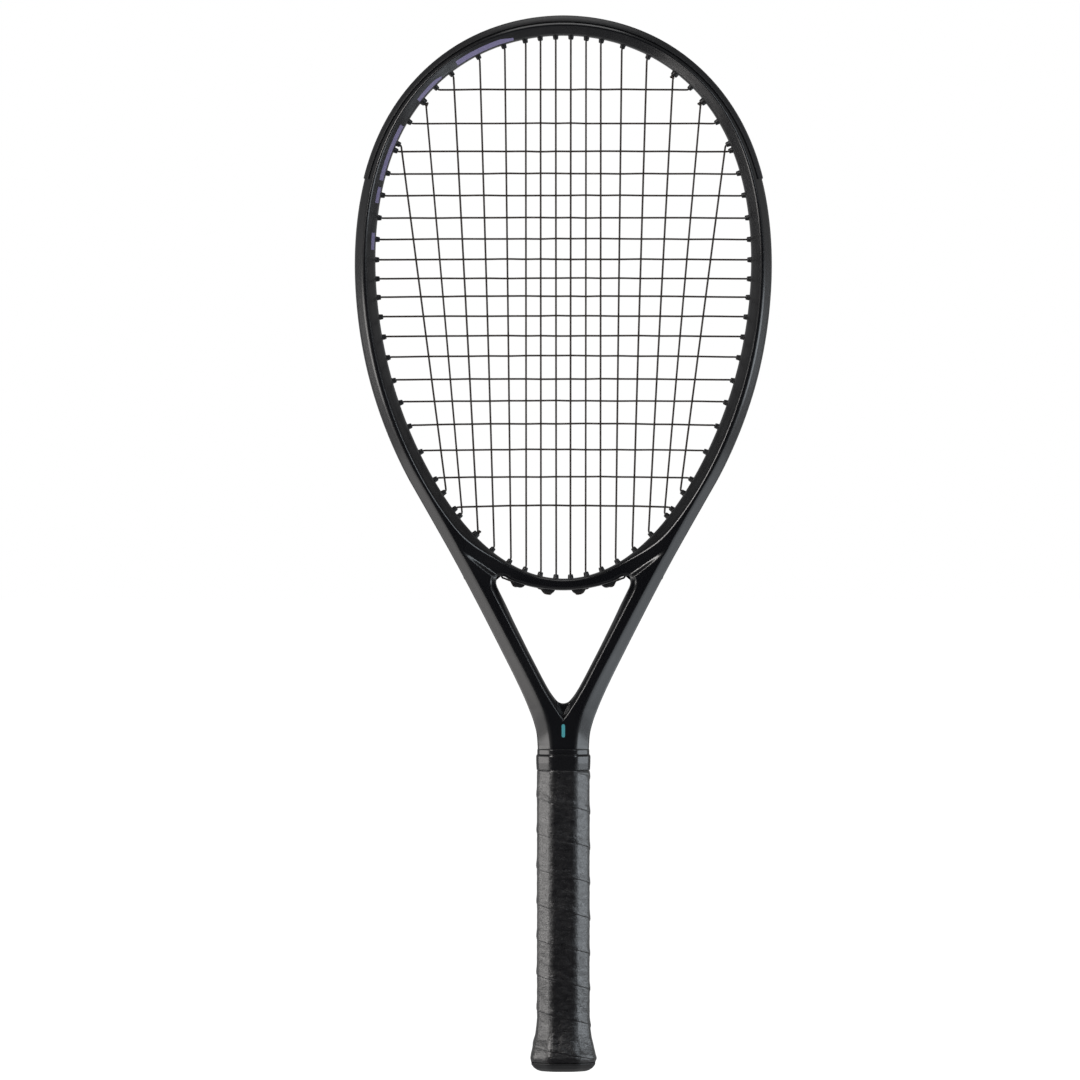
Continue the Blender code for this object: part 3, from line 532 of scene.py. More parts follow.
N_JOINT = 21
hoop_t = np.concatenate([np.linspace(0, T_SPLIT, 250), np.linspace(T_SPLIT, T_JOINT, 52)[1:]])
z_split = np.linspace(SPLIT[1], 320.0, 52)[1:]
ins = [head(hoop_t)]
outs = [np.vstack([hoop_outer(hoop_t[:250]), shaft_outer(z_split)])]
joint_top = head(T_JOINT)
s = np.linspace(0, 1, N_JOINT)[1:]
joint_cols = np.linspace(0, 1, N_JOINT)
ins.append(joint_top + (JOINT_LOW - joint_top) * s[:, None])
outs.append(shaft_outer(320.0 - 6.5 * s))
u = np.linspace(0, 1, 210)[1:]
lower = shaft_inner(u)
lower[-1] = (0.0, CROTCH_Z)
# the outer edge keeps pace with the inner one: a turn round the corner, then straight down
z_out = 313.5 + (234.0 - 313.5) * u
ins.append(lower)
outs.append(shaft_outer(z_out))
z_mid = np.linspace(CROTCH_Z, 206.0, 60)[1:]
zo = np.concatenate([np.linspace(234.0, 214.0, 48)[:-1], np.linspace(214.0, 206.0, 13)])[1:]
ins.append(np.stack([0 * z_mid, z_mid], -1))
outs.append(shaft_outer(zo))
ins = np.vstack(ins)
outs = np.vstack(outs)
N_WALL_END = len(ins) - len(z_mid)           # stations from here on have no inner wall
N_HEAD = len(hoop_t)

grid = strip(ins, outs)
front = lift(grid)


def inner_wall(front_edge):
    """From the front edge through to the back edge, straight."""
    y = front_edge[:, 1]
    k = np.array([-1, -0.6, 0, 0.6, 1.0])
    w = np.repeat(front_edge[:, None, :], len(k), 1)
    w[..., 1] = -y[:, None] * k
    return w[:, ::-1]


def outer_wall(edge, direction, depth):
    """The outer wall with the string groove let into it."""
    y = -edge[:, 1]
    deep = depth[:, None]
    m = np.minimum(5.0, y - 0.25)
    f = np.minimum(4.6, m - 0.3)
    levels = [(-y, 0), (-m - 0.12, 0), (-m + 0.15, 0.25), (-f, 1.0), (-f, 1.0), (f, 1.0),
              (m - 0.15, 0.25), (m + 0.12, 0), (y, 0)]
    out = []
    for yy, dd in levels:
        p = np.empty((len(edge), 3))
        p[:, [0, 2]] = edge[:, [0, 2]] - direction * deep * dd
        p[:, 1] = yy
        out.append(p)
    return np.stack(out, 1)


direction = (outs - ins) / np.linalg.norm(outs - ins, axis=1)[:, None]
groove = GROOVE_DEPTH * smooth_step((outs[:, 1] - 306.5) / 7.0)

shell = Shell()
MX = np.array((-1.0, 1.0, 1.0))
MY = np.array((1.0, -1.0, 1.0))
wall = inner_wall(front[:N_WALL_END, 0])
owall = outer_wall(front[:, -1], direction, groove)
for mx, fx in ((1.0, False), (-1.0, True)):
    mirror = np.array((mx, 1.0, 1.0))
    shell.grid(front * mirror, flip=fx, kind=1)
    shell.grid(front * mirror * MY, flip=not fx, kind=1)
    # inner wall: head part, and throat part (the joint line has none)
    shell.grid(wall[:N_HEAD] * mirror, flip=fx)
    shell.grid(wall[N_HEAD + N_JOINT - 2:] * mirror, flip=fx)
    shell.grid(owall * mirror, flip=not fx)

# bridge: between the head opening and the throat, first row on the joint line
NB = 150
q = np.linspace(0, 1, NB)
t_bridge = T_JOINT + (math.pi - T_JOINT) * q
top_edge = head(t_bridge)
low_edge = under_bridge(q)
low_edge[0], top_edge[0] = JOINT_LOW, joint_top
low_edge[-1, 0] = top_edge[-1, 0] = 0.0
# across: the same spacing as the hairpin's joint stations on the first row, corner rows later
even = joint_cols
blend_to = F
bridge_rows = []
w_b = np.linalg.norm(low_edge - top_edge, axis=1)
pos = np.concatenate([ROWS[:5], np.linspace(1.3, w_b[-1] - 1.3, N_JOINT - 10), w_b[-1] - ROWS[:5][::-1]]) / w_b[-1]
for i in range(NB):
    mix = smooth_step(np.array(min(1.0, i / 10.0)))
    c = even * (1 - mix) + pos * mix
    bridge_rows.append(top_edge[i] + np.outer(c, low_edge[i] - top_edge[i]))
bgrid = np.array(bridge_rows)
bfront = lift(bgrid)
bwall = inner_wall(bfront[:, 0])
bdir = (low_edge - top_edge) / w_b[:, None]
bdepth = np.clip((q - 0.02) * 40, 0, 1) * 2.6
bedge = bfront[:, -1].copy()
bowall = outer_wall(bedge, bdir, bdepth)
for mx, fx in ((1.0, True), (-1.0, False)):
    mirror = np.array((mx, 1.0, 1.0))
    shell.grid(bfront * mirror, flip=not fx, kind=1)
    shell.grid(bfront * mirror * MY, flip=fx, kind=1)
    shell.grid(bwall * mirror, flip=not fx)
    shell.grid(bowall * mirror, flip=fx)

frame_mesh = shell.mesh("frame_shell", merge=2e-6, sharp=38.0, kind=shell.kind)


def slope_normals(points):
    """Outward normals of the frame's faces at points (x, y, z) in mm."""
    e = 0.06
    p = np.stack([np.abs(points[:, 0]), points[:, 2]], 1)
    dx = (height(p + (e, 0)) - height(p - (e, 0))) / (2 * e) * np.sign(points[:, 0])
    dz = (height(p + (0, e)) - height(p - (0, e))) / (2 * e)
    dx[np.abs(points[:, 0]) < 0.02] = 0.0
    n = np.stack([-dx, np.ones(len(p)), -dz], 1)
    n[:, 1] *= np.sign(points[:, 1])
    return n / np.linalg.norm(n, axis=1, keepdims=True)


def smooth_faces(mesh):
    """The frame's faces take their shading from the curve of the surface itself."""
    co = np.empty(len(mesh.vertices) * 3)
    mesh.vertices.foreach_get("co", co)
    kinds = np.empty(len(mesh.polygons), int)
    mesh.polygons.foreach_get("material_index", kinds)
    loops = np.empty(len(mesh.loops), int)
    mesh.loops.foreach_get("vertex_index", loops)
    starts = np.empty(len(mesh.polygons), int)
    totals = np.empty(len(mesh.polygons), int)
    mesh.polygons.foreach_get("loop_start", starts)
    mesh.polygons.foreach_get("loop_total", totals)
    owner = np.repeat(np.arange(len(kinds)), totals)
    now = np.array([n.vector for n in mesh.corner_normals])
    face = kinds[owner] == 1
    used = np.unique(loops[face])
    table = np.zeros((len(mesh.vertices), 3))
    table[used] = slope_normals(co.reshape(-1, 3)[used] * 1000.0)
    now[face] = table[loops[face]]
    mesh.polygons.foreach_set("material_index", np.zeros(len(kinds), int))
    mesh.normals_split_custom_set(now.tolist())


smooth_faces(frame_mesh)
frame_obj = new_object("frame_shell", frame_mesh, material=PAINT)
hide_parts("frame", "throat_bridge")
print("frame faces", len(frame_mesh.polygons))


def tube_octagon(z, a, b, r=1.2):
    fx, fy = OCT_X * a, OCT_Y * b
    return rounded([(a, -fy), (a, fy), (fx, b), (-fx, b), (-a, fy), (-a, -fy), (-fx, -b), (fx, -b)], r, z)


def rounded(poly, r, z, per=4):
    """A horizontal ring (mm) with each corner rounded by about r, and a point just past each corner."""
    pts = np.array(poly, float)
    out = []
    n = len(pts)
    for i in range(n):
        p, a, b = pts[i], pts[i - 1], pts[(i + 1) % n]
        da, db = a - p, b - p
        la, lb = np.linalg.norm(da), np.linalg.norm(db)
        cut_a = min(r, la * 0.42)
        cut_b = min(r, lb * 0.42)
        s0, s1 = p + da / la * cut_a, p + db / lb * cut_b
        out.append(p + da / la * min(cut_a * 1.1 + 0.1, la * 0.47))
        for k in range(per):
            f = k / (per - 1)
            out.append((1 - f) ** 2 * s0 + 2 * f * (1 - f) * p + f * f * s1)
        out.append(p + db / lb * min(cut_b * 1.1 + 0.1, lb * 0.47))
    return np.array([(x, y, z) for x, y in out])


# PART_C
# ------------------------------------------------------------------ strings


def t_top(x):
    part = GRID < 1.3
    return float(np.interp(x, TIPS[part, 0], GRID[part]))


def t_bottom(x):
    part = GRID > 1.8
    return float(np.interp(-x, -TIPS[part, 0], GRID[part]))


def t_cross(z):
    return float(np.interp(-z, -TIPS[:, 1], GRID))


def across(t, edge):
    """How far an edge polyline is from the head opening along its normal."""
    p, n = head(t), outward(t)
    a, e = edge[:-1], np.diff(edge, axis=0)
    det = -n[0] * e[:, 1] + n[1] * e[:, 0]
    det = np.where(np.abs(det) < 1e-12, 1e-12, det)
    r = a - p
    s = (-r[:, 0] * e[:, 1] + r[:, 1] * e[:, 0]) / det
    u = (n[0] * r[:, 1] - n[1] * r[:, 0]) / det
    ok = (u >= 0) & (u <= 1) & (s > 1)
    return float(s[ok].min())


xs = np.linspace(-50.0, 50.0, 120)
UNDER_LINE = np.stack([xs, 318.9 + 0.00529 * xs**2], 1)


def reach_at(t):
    if t <= T_SPLIT:
        return float(ring_width(t))
    return across(t, UNDER_LINE if t > T_JOINT else OUTLINE[:900])


REACH_T = np.unique(np.concatenate([np.linspace(0, T_SPLIT, 60), np.linspace(T_SPLIT, T_JOINT - 1e-4, 50),
                                    np.linspace(T_JOINT + 0.012, math.pi - 1e-3, 60)]))
REACH_R = np.array([reach_at(t) for t in REACH_T])


def reach(t):
    return float(np.interp(t, REACH_T, REACH_R))


def spot(t, side, r, y):
    p = head(t) + outward(t) * r
    return np.array([side * p[0], y, p[1]])


def unit(v):
    return v / np.linalg.norm(v)


PADS = (9.75, 29.7)


def pad_height(x):
    """How far the bridge's pads stand below its edge, at x."""
    best = 0.0
    for c in PADS:
        k = abs(abs(x) - c) / 4.4
        if k < 1:
            best = max(best, 3.0 * (1 - k**3.0) ** 0.8 - 0.3)
    return best


LANE = 2.4
HOLES = []
for side in (1, -1):
    for k, x in enumerate(MAINS_TOP):
        HOLES.append((side, t_top(x), k == 6 or (k == 5 and side == 1), "bumper"))
    for k, x in enumerate(MAINS_BOTTOM):
        HOLES.append((side, t_bottom(x), k == 5 and side == -1, "bridge" if k < 4 else "side"))
    for k, z in enumerate(CROSSES):
        HOLES.append((side, t_cross(z), False, "bumper" if k < 4 else "side"))

TOPS = [t_top(x) for x in MAINS_TOP]
LOWS = [t_bottom(x) for x in MAINS_BOTTOM]
ROWS_T = [t_cross(z) for z in CROSSES]
COLUMNS = [(s, k) for s in (-1, 1) for k in (range(7, -1, -1) if s < 0 else range(8))]
MAIN_LINES = [(spot(TOPS[k], s, -TURN, 0), spot(LOWS[k], s, -TURN, 0)) for s, k in COLUMNS]


def main_x(i, z):
    a, b = MAIN_LINES[i]
    return a[0] + (b[0] - a[0]) * (a[2] - z) / (a[2] - b[2])


def over(i, j):
    """Whether main i passes in front of cross j."""
    return (i + j) % 2 == 0


def put(pts, *more):
    pts.extend(np.asarray(m, float) for m in more)


def hermite(points, step=0.9):
    """A smooth dense curve through points with weights by chord length."""
    p = np.array(points, float)
    keep = [0]
    for i in range(1, len(p)):
        if np.linalg.norm(p[i] - p[keep[-1]]) > 0.05:
            keep.append(i)
    p = p[keep]
    s = np.concatenate([[0], np.cumsum(np.linalg.norm(np.diff(p, axis=0), axis=1))])
    tan = np.empty_like(p)
    d = np.diff(p, axis=0) / np.diff(s)[:, None]
    tan[0], tan[-1] = d[0], d[-1]
    h = np.diff(s)
    uneven = (np.maximum(h[:-1], h[1:]) > 2.0 * np.minimum(h[:-1], h[1:]))[:, None]
    near = (d[:-1] * h[1:, None] + d[1:] * h[:-1, None]) / (h[:-1] + h[1:])[:, None]
    far = (d[:-1] * h[:-1, None] + d[1:] * h[1:, None]) / (h[:-1] + h[1:])[:, None]
    tan[1:-1] = np.where(uneven, far, near)
    out = []
    for i in range(len(p) - 1):
        n = max(1, int(round(h[i] / step)))
        f = np.arange(n) / n
        h0, h1 = 2 * f**3 - 3 * f**2 + 1, f**3 - 2 * f**2 + f
        h2, h3 = -2 * f**3 + 3 * f**2, f**3 - f**2
        out.append(h0[:, None] * p[i] + h1[:, None] * h[i] * tan[i] + h2[:, None] * p[i + 1]
                   + h3[:, None] * h[i] * tan[i + 1])
    out.append(p[-1:])
    return np.vstack(out)


def turn_in(pts, t, side, y, run, leaving, room=99.0):
    """Round the tip of a barrel, between its bore and the straight run."""
    r = 1.2
    corner = spot(t, side, -TURN, y)
    bore = spot(t, side, -TURN + r, y)
    on_run = corner + unit(run) * r
    mid = corner * 0.5 + bore * 0.25 + on_run * 0.25
    deep = [spot(t, side, 4.0, y), spot(t, side, 0.4, y)]
    ahead = [on_run + unit(run) * e for e in (1.2, 3.0) if e + r + 1.6 < room]
    if leaving:
        put(pts, *reversed(ahead), on_run, mid, bore, deep[1], deep[0])
    else:
        put(pts, deep[0], deep[1], bore, mid, on_run, *ahead)


def loop_out(pts, ta, tb, sa, sb, ya, lane, yb):
    """Out of one hole, along the groove in its lane, and into the next."""
    a, b = sa * ta, sb * tb
    sign = 1.0 if b > a else -1.0
    span = abs(b - a)
    eps = 1e-3
    speed = float(np.linalg.norm(head(abs(a) + eps) - head(abs(a))) / eps) + float(ring_width(min(abs(a), 2.2)))
    step = 2.0 / speed
    bridge = min(ta, tb) > T_JOINT
    depth = 0.45 if bridge else 1.1
    def w(q):
        r = reach(abs(q))
        return r + (pad_height(spot(abs(q), 1, r, 0)[0]) + 0.1 if bridge else -depth)

    sd = lambda q: 1.0 if q >= 0 else -1.0
    at = lambda q, r, y: spot(abs(q), sd(q), r, y)
    put(pts, at(a, w(a) - 3.0, ya), at(a + sign * step * 0.15, w(a) - 0.9, ya + (lane - ya) * 0.12))
    put(pts, at(a + sign * step * 0.8, w(a) - 0.1, ya + (lane - ya) * 0.5))
    n = max(2, int(round(span * speed / (1.6 if bridge else 5.0))))
    for i in range(1, n + 1):
        q = a + (b - a) * (i / (n + 1.0))
        if abs(q - a) < step * (0.9 if bridge else 1.4) or abs(q - b) < step * (0.9 if bridge else 1.4):
            continue
        put(pts, at(q, w(q), lane))
    put(pts, at(b - sign * step * 0.8, w(b) - 0.1, yb + (lane - yb) * 0.5))
    put(pts, at(b - sign * step * 0.15, w(b) - 0.9, yb + (lane - yb) * 0.12), at(b, w(b) - 3.0, yb))


def knot(pts, t, side, y_end, into, turns=1.4):
    """A tie-off: the tail comes out of the shared barrel and is wound round the string in it."""
    p = []
    for r in (4.0, 1.5, -1.0):
        p.append(spot(t, side, r, y_end * 0.8))
    base = spot(t, side, -2.9, 0.0)
    axis = unit(spot(t, side, -5.0, 0) - spot(t, side, -3.0, 0))
    side_v = unit(np.cross(axis, (0, 1.0, 0)))
    n = 44
    for i in range(n + 1):
        f = i / n
        ang = math.pi / 2 + f * turns * 2 * math.pi
        c = base + axis * (1.5 * f)
        rr = 0.98
        p.append(c + rr * (math.sin(ang) * np.array((0, 1.0, 0)) + math.cos(ang) * side_v))
    p.append(p[-1] + axis * 0.35)
    put(pts, *(p if into else reversed(p)))


def drift(i, j):
    """How far a cross is pushed out of its straight line at a main, in mm."""
    x = main_x(i, CROSSES[j]) / abs(spot(ROWS_T[j], 1, -TURN, 0)[0])
    bow = (0.25 + 0.05 * j) * (0.6 if j % 3 else 1.0)
    return (1.0 - x * x) * (bow + 0.08 * math.sin(2.3 * i + 1.7 * j) + 0.12 * math.sin(0.7 * i - 2.9 * j))


def run_main(i, down):
    """Points of main i between its barrels, woven over and under the crosses."""
    a, b = MAIN_LINES[i]
    pts = []
    zs = [z for z in CROSSES if b[2] + 3.4 < z < a[2] - 3.4]
    for j, z in enumerate(CROSSES):
        if z not in zs:
            continue
        y = -0.30 if over(i, j) else 0.30
        pts.append(np.array((main_x(i, z), y, z + drift(i, j))))
    start = a + unit(b - a) * 1.6
    return pts if down else pts[::-1]


mains = []
t6 = TOPS[6]
knot(mains, TOPS[6], -1, 1.0, into=False)
loop_out(mains, TOPS[6], TOPS[7], -1, -1, 0.8, 2.0, -0.2)
down = True
for i, (side, k) in enumerate(COLUMNS):
    a, b = MAIN_LINES[i]
    run = b - a
    way = run_main(i, True)
    room_a, room_b = np.linalg.norm(way[0] - a), np.linalg.norm(way[-1] - b)
    if down:
        turn_in(mains, TOPS[k], side, 0.0, run, False, room_a)
        put(mains, *way)
        turn_in(mains, LOWS[k], side, 0.0, -run, True, room_b)
    else:
        turn_in(mains, LOWS[k], side, 0.0, -run, False, room_b)
        put(mains, *way[::-1])
        turn_in(mains, TOPS[k], side, 0.0, run, True, room_a)
    if i + 1 < len(COLUMNS):
        s2, k2 = COLUMNS[i + 1]
        end = LOWS if down else TOPS
        loop_out(mains, end[k], end[k2], side, s2, 0.0, -LANE, 0.0)
    down = not down
loop_out(mains, TOPS[7], TOPS[6], 1, 1, -0.2, -2.0, 0.8)
knot(mains, TOPS[6], 1, 1.0, into=True)

crosses = []
knot(crosses, TOPS[5], 1, 1.0, into=False)
loop_out(crosses, TOPS[5], ROWS_T[0], 1, 1, 0.8, 2.0, 0.3)
side = 1
for j, t in enumerate(ROWS_T):
    z = CROSSES[j]
    reach_x = abs(spot(t, 1, -TURN, 0)[0])
    inner = [i for i in range(16) if MAIN_LINES[i][1][2] + 3.4 < z < MAIN_LINES[i][0][2] - 3.4
             and abs(main_x(i, z)) < reach_x - 2.6]
    pts = [np.array((main_x(i, z), 0.95 if over(i, j) else -0.95, z + drift(i, j))) for i in inner]
    if side > 0:
        pts = pts[::-1]
    room = reach_x - abs(pts[0][0])
    turn_in(crosses, t, side, 0.0, np.array((-float(side), 0, 0)), False, room)
    put(crosses, *pts)
    turn_in(crosses, t, -side, 0.0, np.array((float(side), 0, 0)), True, room)
    side = -side
    if j + 1 < len(ROWS_T):
        loop_out(crosses, t, ROWS_T[j + 1], side, side, 0.0, LANE, 0.0)
loop_out(crosses, ROWS_T[-1], LOWS[5], -1, -1, 0.3, 2.0, 0.8)
knot(crosses, LOWS[5], -1, 1.0, into=True)

for name, pts, look in (("main_string", mains, MAIN_POLY), ("cross_string", crosses, CROSS_POLY)):
    line = hermite(pts, 0.85)
    shell = Shell()
    tube(shell, line, STRING_R, sides=8)
    mesh = shell.mesh(name + "_woven", sharp=60.0)
    obj = new_object(name + "_woven", mesh, material=look)
    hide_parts(name)


# ------------------------------------------------------------------ grommets and bumper guard


def barrel(shell, t, side, r_out, wide):
    """One grommet barrel: from the strip's base to a tapered tip, with its bore and a rim on the wall."""
    rad, bore = (2.5, 1.95) if wide else (1.85, 1.02)
    prof = [(r_out, rad + 0.15), (0.6, rad + 0.15), (0.18, rad + 0.15), (-0.15, rad + 0.12), (-0.4, rad + 0.02),
            (-1.6, rad - 0.1), (-2.2, rad - 0.22), (-2.5, rad - 0.38), (-2.62, rad - 0.6),
            (-2.6, bore + 0.16), (-2.35, bore), (r_out, bore)]
    base = spot(t, side, 0, 0.0)
    axis = unit(spot(t, side, 1.0, 0.0) - base)
    v = np.array((0, 1.0, 0))
    u = np.cross(axis, v)
    q = np.linspace(0, 2 * math.pi, 20, endpoint=False)
    ring = np.cos(q)[:, None] * u + np.sin(q)[:, None] * v
    rings = [base + axis * r + ring * rr for r, rr in prof]
    shell.grid(rings, close_cols=True)


def sweep_profile(shell, stations, profile, caps=True):
    """A closed (r, y) profile carried along (in-point, out-point) stations."""
    rings = []
    for a, b, s in stations:
        w = float(np.linalg.norm(b - a))
        d = (b - a) / w
        ring = [np.array((a[0] + d[0] * r, y, a[1] + d[1] * r)) for r, y in profile(w, s)]
        rings.append(ring)
    rings = np.array(rings)
    shell.grid(rings, close_cols=True)
    if caps:
        shell.fan(rings[0])
        shell.fan(rings[-1], flip=True)


def soft(points, r=0.35, per=3):
    """Rounds the corners of a closed (x, y) outline."""
    pts = np.array(points, float)
    out = []
    n = len(pts)
    for i in range(n):
        p, a, b = pts[i], pts[i - 1], pts[(i + 1) % n]
        da, db = a - p, b - p
        la, lb = np.linalg.norm(da), np.linalg.norm(db)
        c = min(r, la * 0.45, lb * 0.45)
        s0, s1 = p + da / la * c, p + db / lb * c
        for k in range(per):
            f = k / (per - 1)
            out.append(tuple((1 - f) ** 2 * s0 + 2 * f * (1 - f) * p + f * f * s1))
    return out


def station_at(t, side):
    a = head(t) * (side, 1)
    if t <= T_SPLIT:
        return a, hoop_outer(t) * (side, 1), t
    f = (t - T_SPLIT) / (T_JOINT - T_SPLIT)
    return a, shaft_outer(SPLIT[1] + (320.0 - SPLIT[1]) * f) * (side, 1), t


PROUD_TOP = 700.0 - float(hoop_outer(0.0)[1])


def bumper_profile(w, t):
    z = float(hoop_outer(t)[1])
    half = float(half_beam(z))
    f = t / T_BUMPER
    proud = PROUD_TOP + (0.85 - PROUD_TOP) * f
    rise = np.array((-5.6, half - WALL_OUT))
    rise /= np.linalg.norm(rise)
    off = np.array((rise[1], -rise[0]))
    tip = np.array((w, WALL_OUT)) + rise * 4.6
    inner, outer = tip + off * 0.12, tip + off * 0.95
    mid = np.array((w, WALL_OUT)) + rise * 1.6 + off * 1.15
    top = [(w - BASE_IN, 4.3), (w + 0.1, 4.7), (w + 0.1, WALL_OUT + 0.1), tuple(inner), tuple(outer), tuple(mid),
           (w + proud, WALL_OUT - 0.3), (w + proud, 3.6), (w - BASE_OUT, 3.4)]
    return soft(top + [(r, -y) for r, y in reversed(top)], 0.5)


shell = Shell()
ts = np.linspace(-T_BUMPER, T_BUMPER, 260)
sweep_profile(shell, [(*station_at(abs(t), 1 if t >= 0 else -1)[:2], abs(t)) for t in ts], bumper_profile)
for side, t, wide, carrier in HOLES:
    if carrier == "bumper":
        barrel(shell, t, side, reach(t) - 2.6, wide)
bumper = new_object("bumper_shell", shell.mesh("bumper_shell", sharp=40.0), material=BUMPER)
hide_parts("bumper_guard")


def side_profile(w, t):
    return soft([(w - BASE_IN, 4.3), (w - BASE_OUT, 4.3), (w - BASE_OUT + 0.0, 3.6), (w - BASE_OUT - 0.3, 3.3),
                 (w - BASE_OUT - 0.3, -3.3), (w - BASE_OUT, -3.6), (w - BASE_OUT, -4.3), (w - BASE_IN, -4.3)], 0.12, 2)


for side, name in ((-1, "grommet_strip_left"), (1, "grommet_strip_right")):
    shell = Shell()
    ts = np.linspace(T_BUMPER + 0.008, T_JOINT - 0.01, 240)
    sweep_profile(shell, [station_at(t, side) for t in ts], side_profile)
    for s, t, wide, carrier in HOLES:
        if carrier == "side" and s == side:
            barrel(shell, t, s, reach(t) - 2.6, wide)
    obj = new_object(name + "_fine", shell.mesh(name + "_fine", sharp=40.0), material=GROMMET)
    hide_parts(name)

shell = Shell()
qs = np.linspace(-0.94, 0.94, 120)
stations = []
for q in qs:
    s = -1.0 if q < 0 else 1.0
    f = 1 - abs(q)
    stations.append((head(T_JOINT + (math.pi - T_JOINT) * f) * (s, 1), under_bridge(np.array([f]))[0] * (s, 1), f))
sweep_profile(shell, stations, lambda w, t: soft([(w - 2.3, 3.8), (w - 1.5, 3.8), (w - 1.5, -3.8), (w - 2.3, -3.8)], 0.12, 2))
for s, t, wide, carrier in HOLES:
    if carrier == "bridge":
        barrel(shell, t, s, reach(t) - 1.9, wide)
# the four pads that the strings turn over below the bridge
for s in (-1, 1):
    for x_pad, wide_pad in ((PADS[0], 4.4), (PADS[1], 4.4)):
        run = []
        for k in np.linspace(-1, 1, 25):
            x = x_pad + k * wide_pad
            base = 318.9 + 0.00529 * x * x
            slope = 2 * 0.00529 * x
            n = np.array((slope, -1.0)) / math.hypot(slope, 1.0)
            lump = 3.0 * (1 - abs(k) ** 3.0) ** 0.8 - 0.1
            ring = []
            for ang in np.linspace(0, 2 * math.pi, 20, endpoint=False):
                yy = 4.9 * math.copysign(abs(math.cos(ang)) ** 0.55, math.cos(ang))
                dd = math.copysign(abs(math.sin(ang)) ** 0.7, math.sin(ang))
                depth = lump if dd > 0 else 1.4
                lip = 0.45 * math.exp(-((abs(yy) - 4.2) / 0.6) ** 2) if dd > 0 else 0.0
                hollow = 0.45 * math.exp(-((yy + LANE) / 0.8) ** 2) if dd > 0 else 0.0
                q = np.array((x, base)) + n * (dd * (depth - hollow) - 0.2 + lip * 0.2)
                ring.append((s * q[0], yy, q[1]))
            run.append(ring)
        shell.grid(run, close_cols=True)
        shell.fan(run[0])
        shell.fan(run[-1], flip=True)
obj = new_object("grommet_strip_bridge_fine", shell.mesh("grommet_strip_bridge_fine", sharp=40.0), material=GROMMET)
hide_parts("grommet_strip_bridge")


# PART_D
# ------------------------------------------------------------------ handle

handle_ring = np.vstack([front[-1], owall[-1], (front[-1] * MY)[::-1]])
section_ring = np.vstack([handle_ring, (handle_ring * MX)[::-1]])
shell = Shell()
shell.fan(section_ring)
heights = np.linspace(206.0, 14.2, 40)
rings = [tube_octagon(z, 12.0, 9.6) for z in heights]
shell.grid(rings, close_cols=True)
shell.fan(rings[-1])
for s in (-1, 1):
    bore = lambda z: rounded([(s * 1.6, -5.4), (s * 9.0, -5.4), (s * 9.0, 5.4), (s * 1.6, 5.4)], 0.8, z)
    shell.grid([bore(z) for z in heights], close_cols=True)
tube_obj = new_object("frame_handle_tube", shell.mesh("frame_handle_tube", recalc=True), material=PAINT)
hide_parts("frame")

TAPE_A = spline_of(((0, 21.3), (6.4, 21.5), (8.7, 21.95), (12.7, 21.3), (16.6, 20.4), (20.6, 19.5),
                    (24.6, 18.7), (28.6, 18.2), (36.5, 17.6), (198.9, 17.6), (199.7, 17.3), (200.3, 16.85), (210, 16.8)))
TAPE_B = spline_of(((0, 19.4), (6.4, 19.6), (8.7, 20.05), (12.7, 19.4), (16.6, 18.5), (20.6, 17.6),
                    (24.6, 16.8), (28.6, 16.3), (36.5, 15.7), (198.9, 15.7), (199.7, 15.4), (200.3, 14.95), (210, 14.9)))
INNER_A = spline_of(((6.4, 20.25), (10.0, 20.35), (13.5, 19.05), (18.0, 17.75), (24.0, 16.65), (34.0, 16.0), (201.2, 16.0)))
INNER_B = spline_of(((6.4, 18.35), (10.0, 18.45), (13.5, 17.15), (18.0, 15.85), (24.0, 14.75), (34.0, 14.1), (201.2, 14.1)))


def octagon_path(a, b, r=3.2, per=9):
    fx, fy = OCT_X * a, OCT_Y * b
    poly = [(a, -fy), (a, fy), (fx, b), (-fx, b), (-a, fy), (-a, -fy), (-fx, -b), (fx, -b)]
    pts = rounded(poly, r, 0.0, per)[:, :2]
    return np.vstack([pts, pts[:1]])


UNIT = octagon_path(17.6, 15.7)
seg = np.linalg.norm(np.diff(UNIT, axis=0), axis=1)
PERIM = float(seg.sum())
CUM = np.concatenate([[0], np.cumsum(seg)]) / PERIM
edge_dir = np.diff(UNIT, axis=0)
edge_n = np.stack([edge_dir[:, 1], -edge_dir[:, 0]], 1)
edge_n /= np.linalg.norm(edge_n, axis=1, keepdims=True)
NORM = edge_n + np.roll(edge_n, 1, axis=0)
NORM /= np.linalg.norm(NORM, axis=1, keepdims=True)
NORM = np.vstack([NORM, NORM[:1]])


def on_octagon(u, z, off):
    """Point on the grip's rounded octagon: u round it, z up, off outwards (arrays)."""
    u = np.mod(u, 1.0)
    x = np.interp(u, CUM, UNIT[:, 0])
    y = np.interp(u, CUM, UNIT[:, 1])
    nx = np.interp(u, CUM, NORM[:, 0])
    ny = np.interp(u, CUM, NORM[:, 1])
    a, b = TAPE_A(z), TAPE_B(z)
    return np.stack([x * a / 17.6 + nx * off, y * b / 15.7 + ny * off, z], -1)


PITCH = 23.5
LEFT = int(np.argmin(np.hypot(UNIT[:, 0] + 13.1, UNIT[:, 1] + 11.1)))     # middle of the front left bevel
U0 = float(np.mod(np.interp(0.0, [0.0, 1.0], [CUM[LEFT], CUM[LEFT]]), 1.0))


def crease(u, z):
    """Slow undulation of the wrapped leather, in mm."""
    q = 2 * math.pi * u
    return (0.05 * np.sin(3 * q + 0.11 * z + 1.3) + 0.045 * np.sin(7 * q - 0.27 * z + 0.4)
            + 0.035 * np.sin(13 * q + 0.62 * z) + 0.03 * np.sin(5 * q + 1.15 * z + 2.0)
            + 0.02 * np.sin(19 * q - 1.9 * z + 0.7))


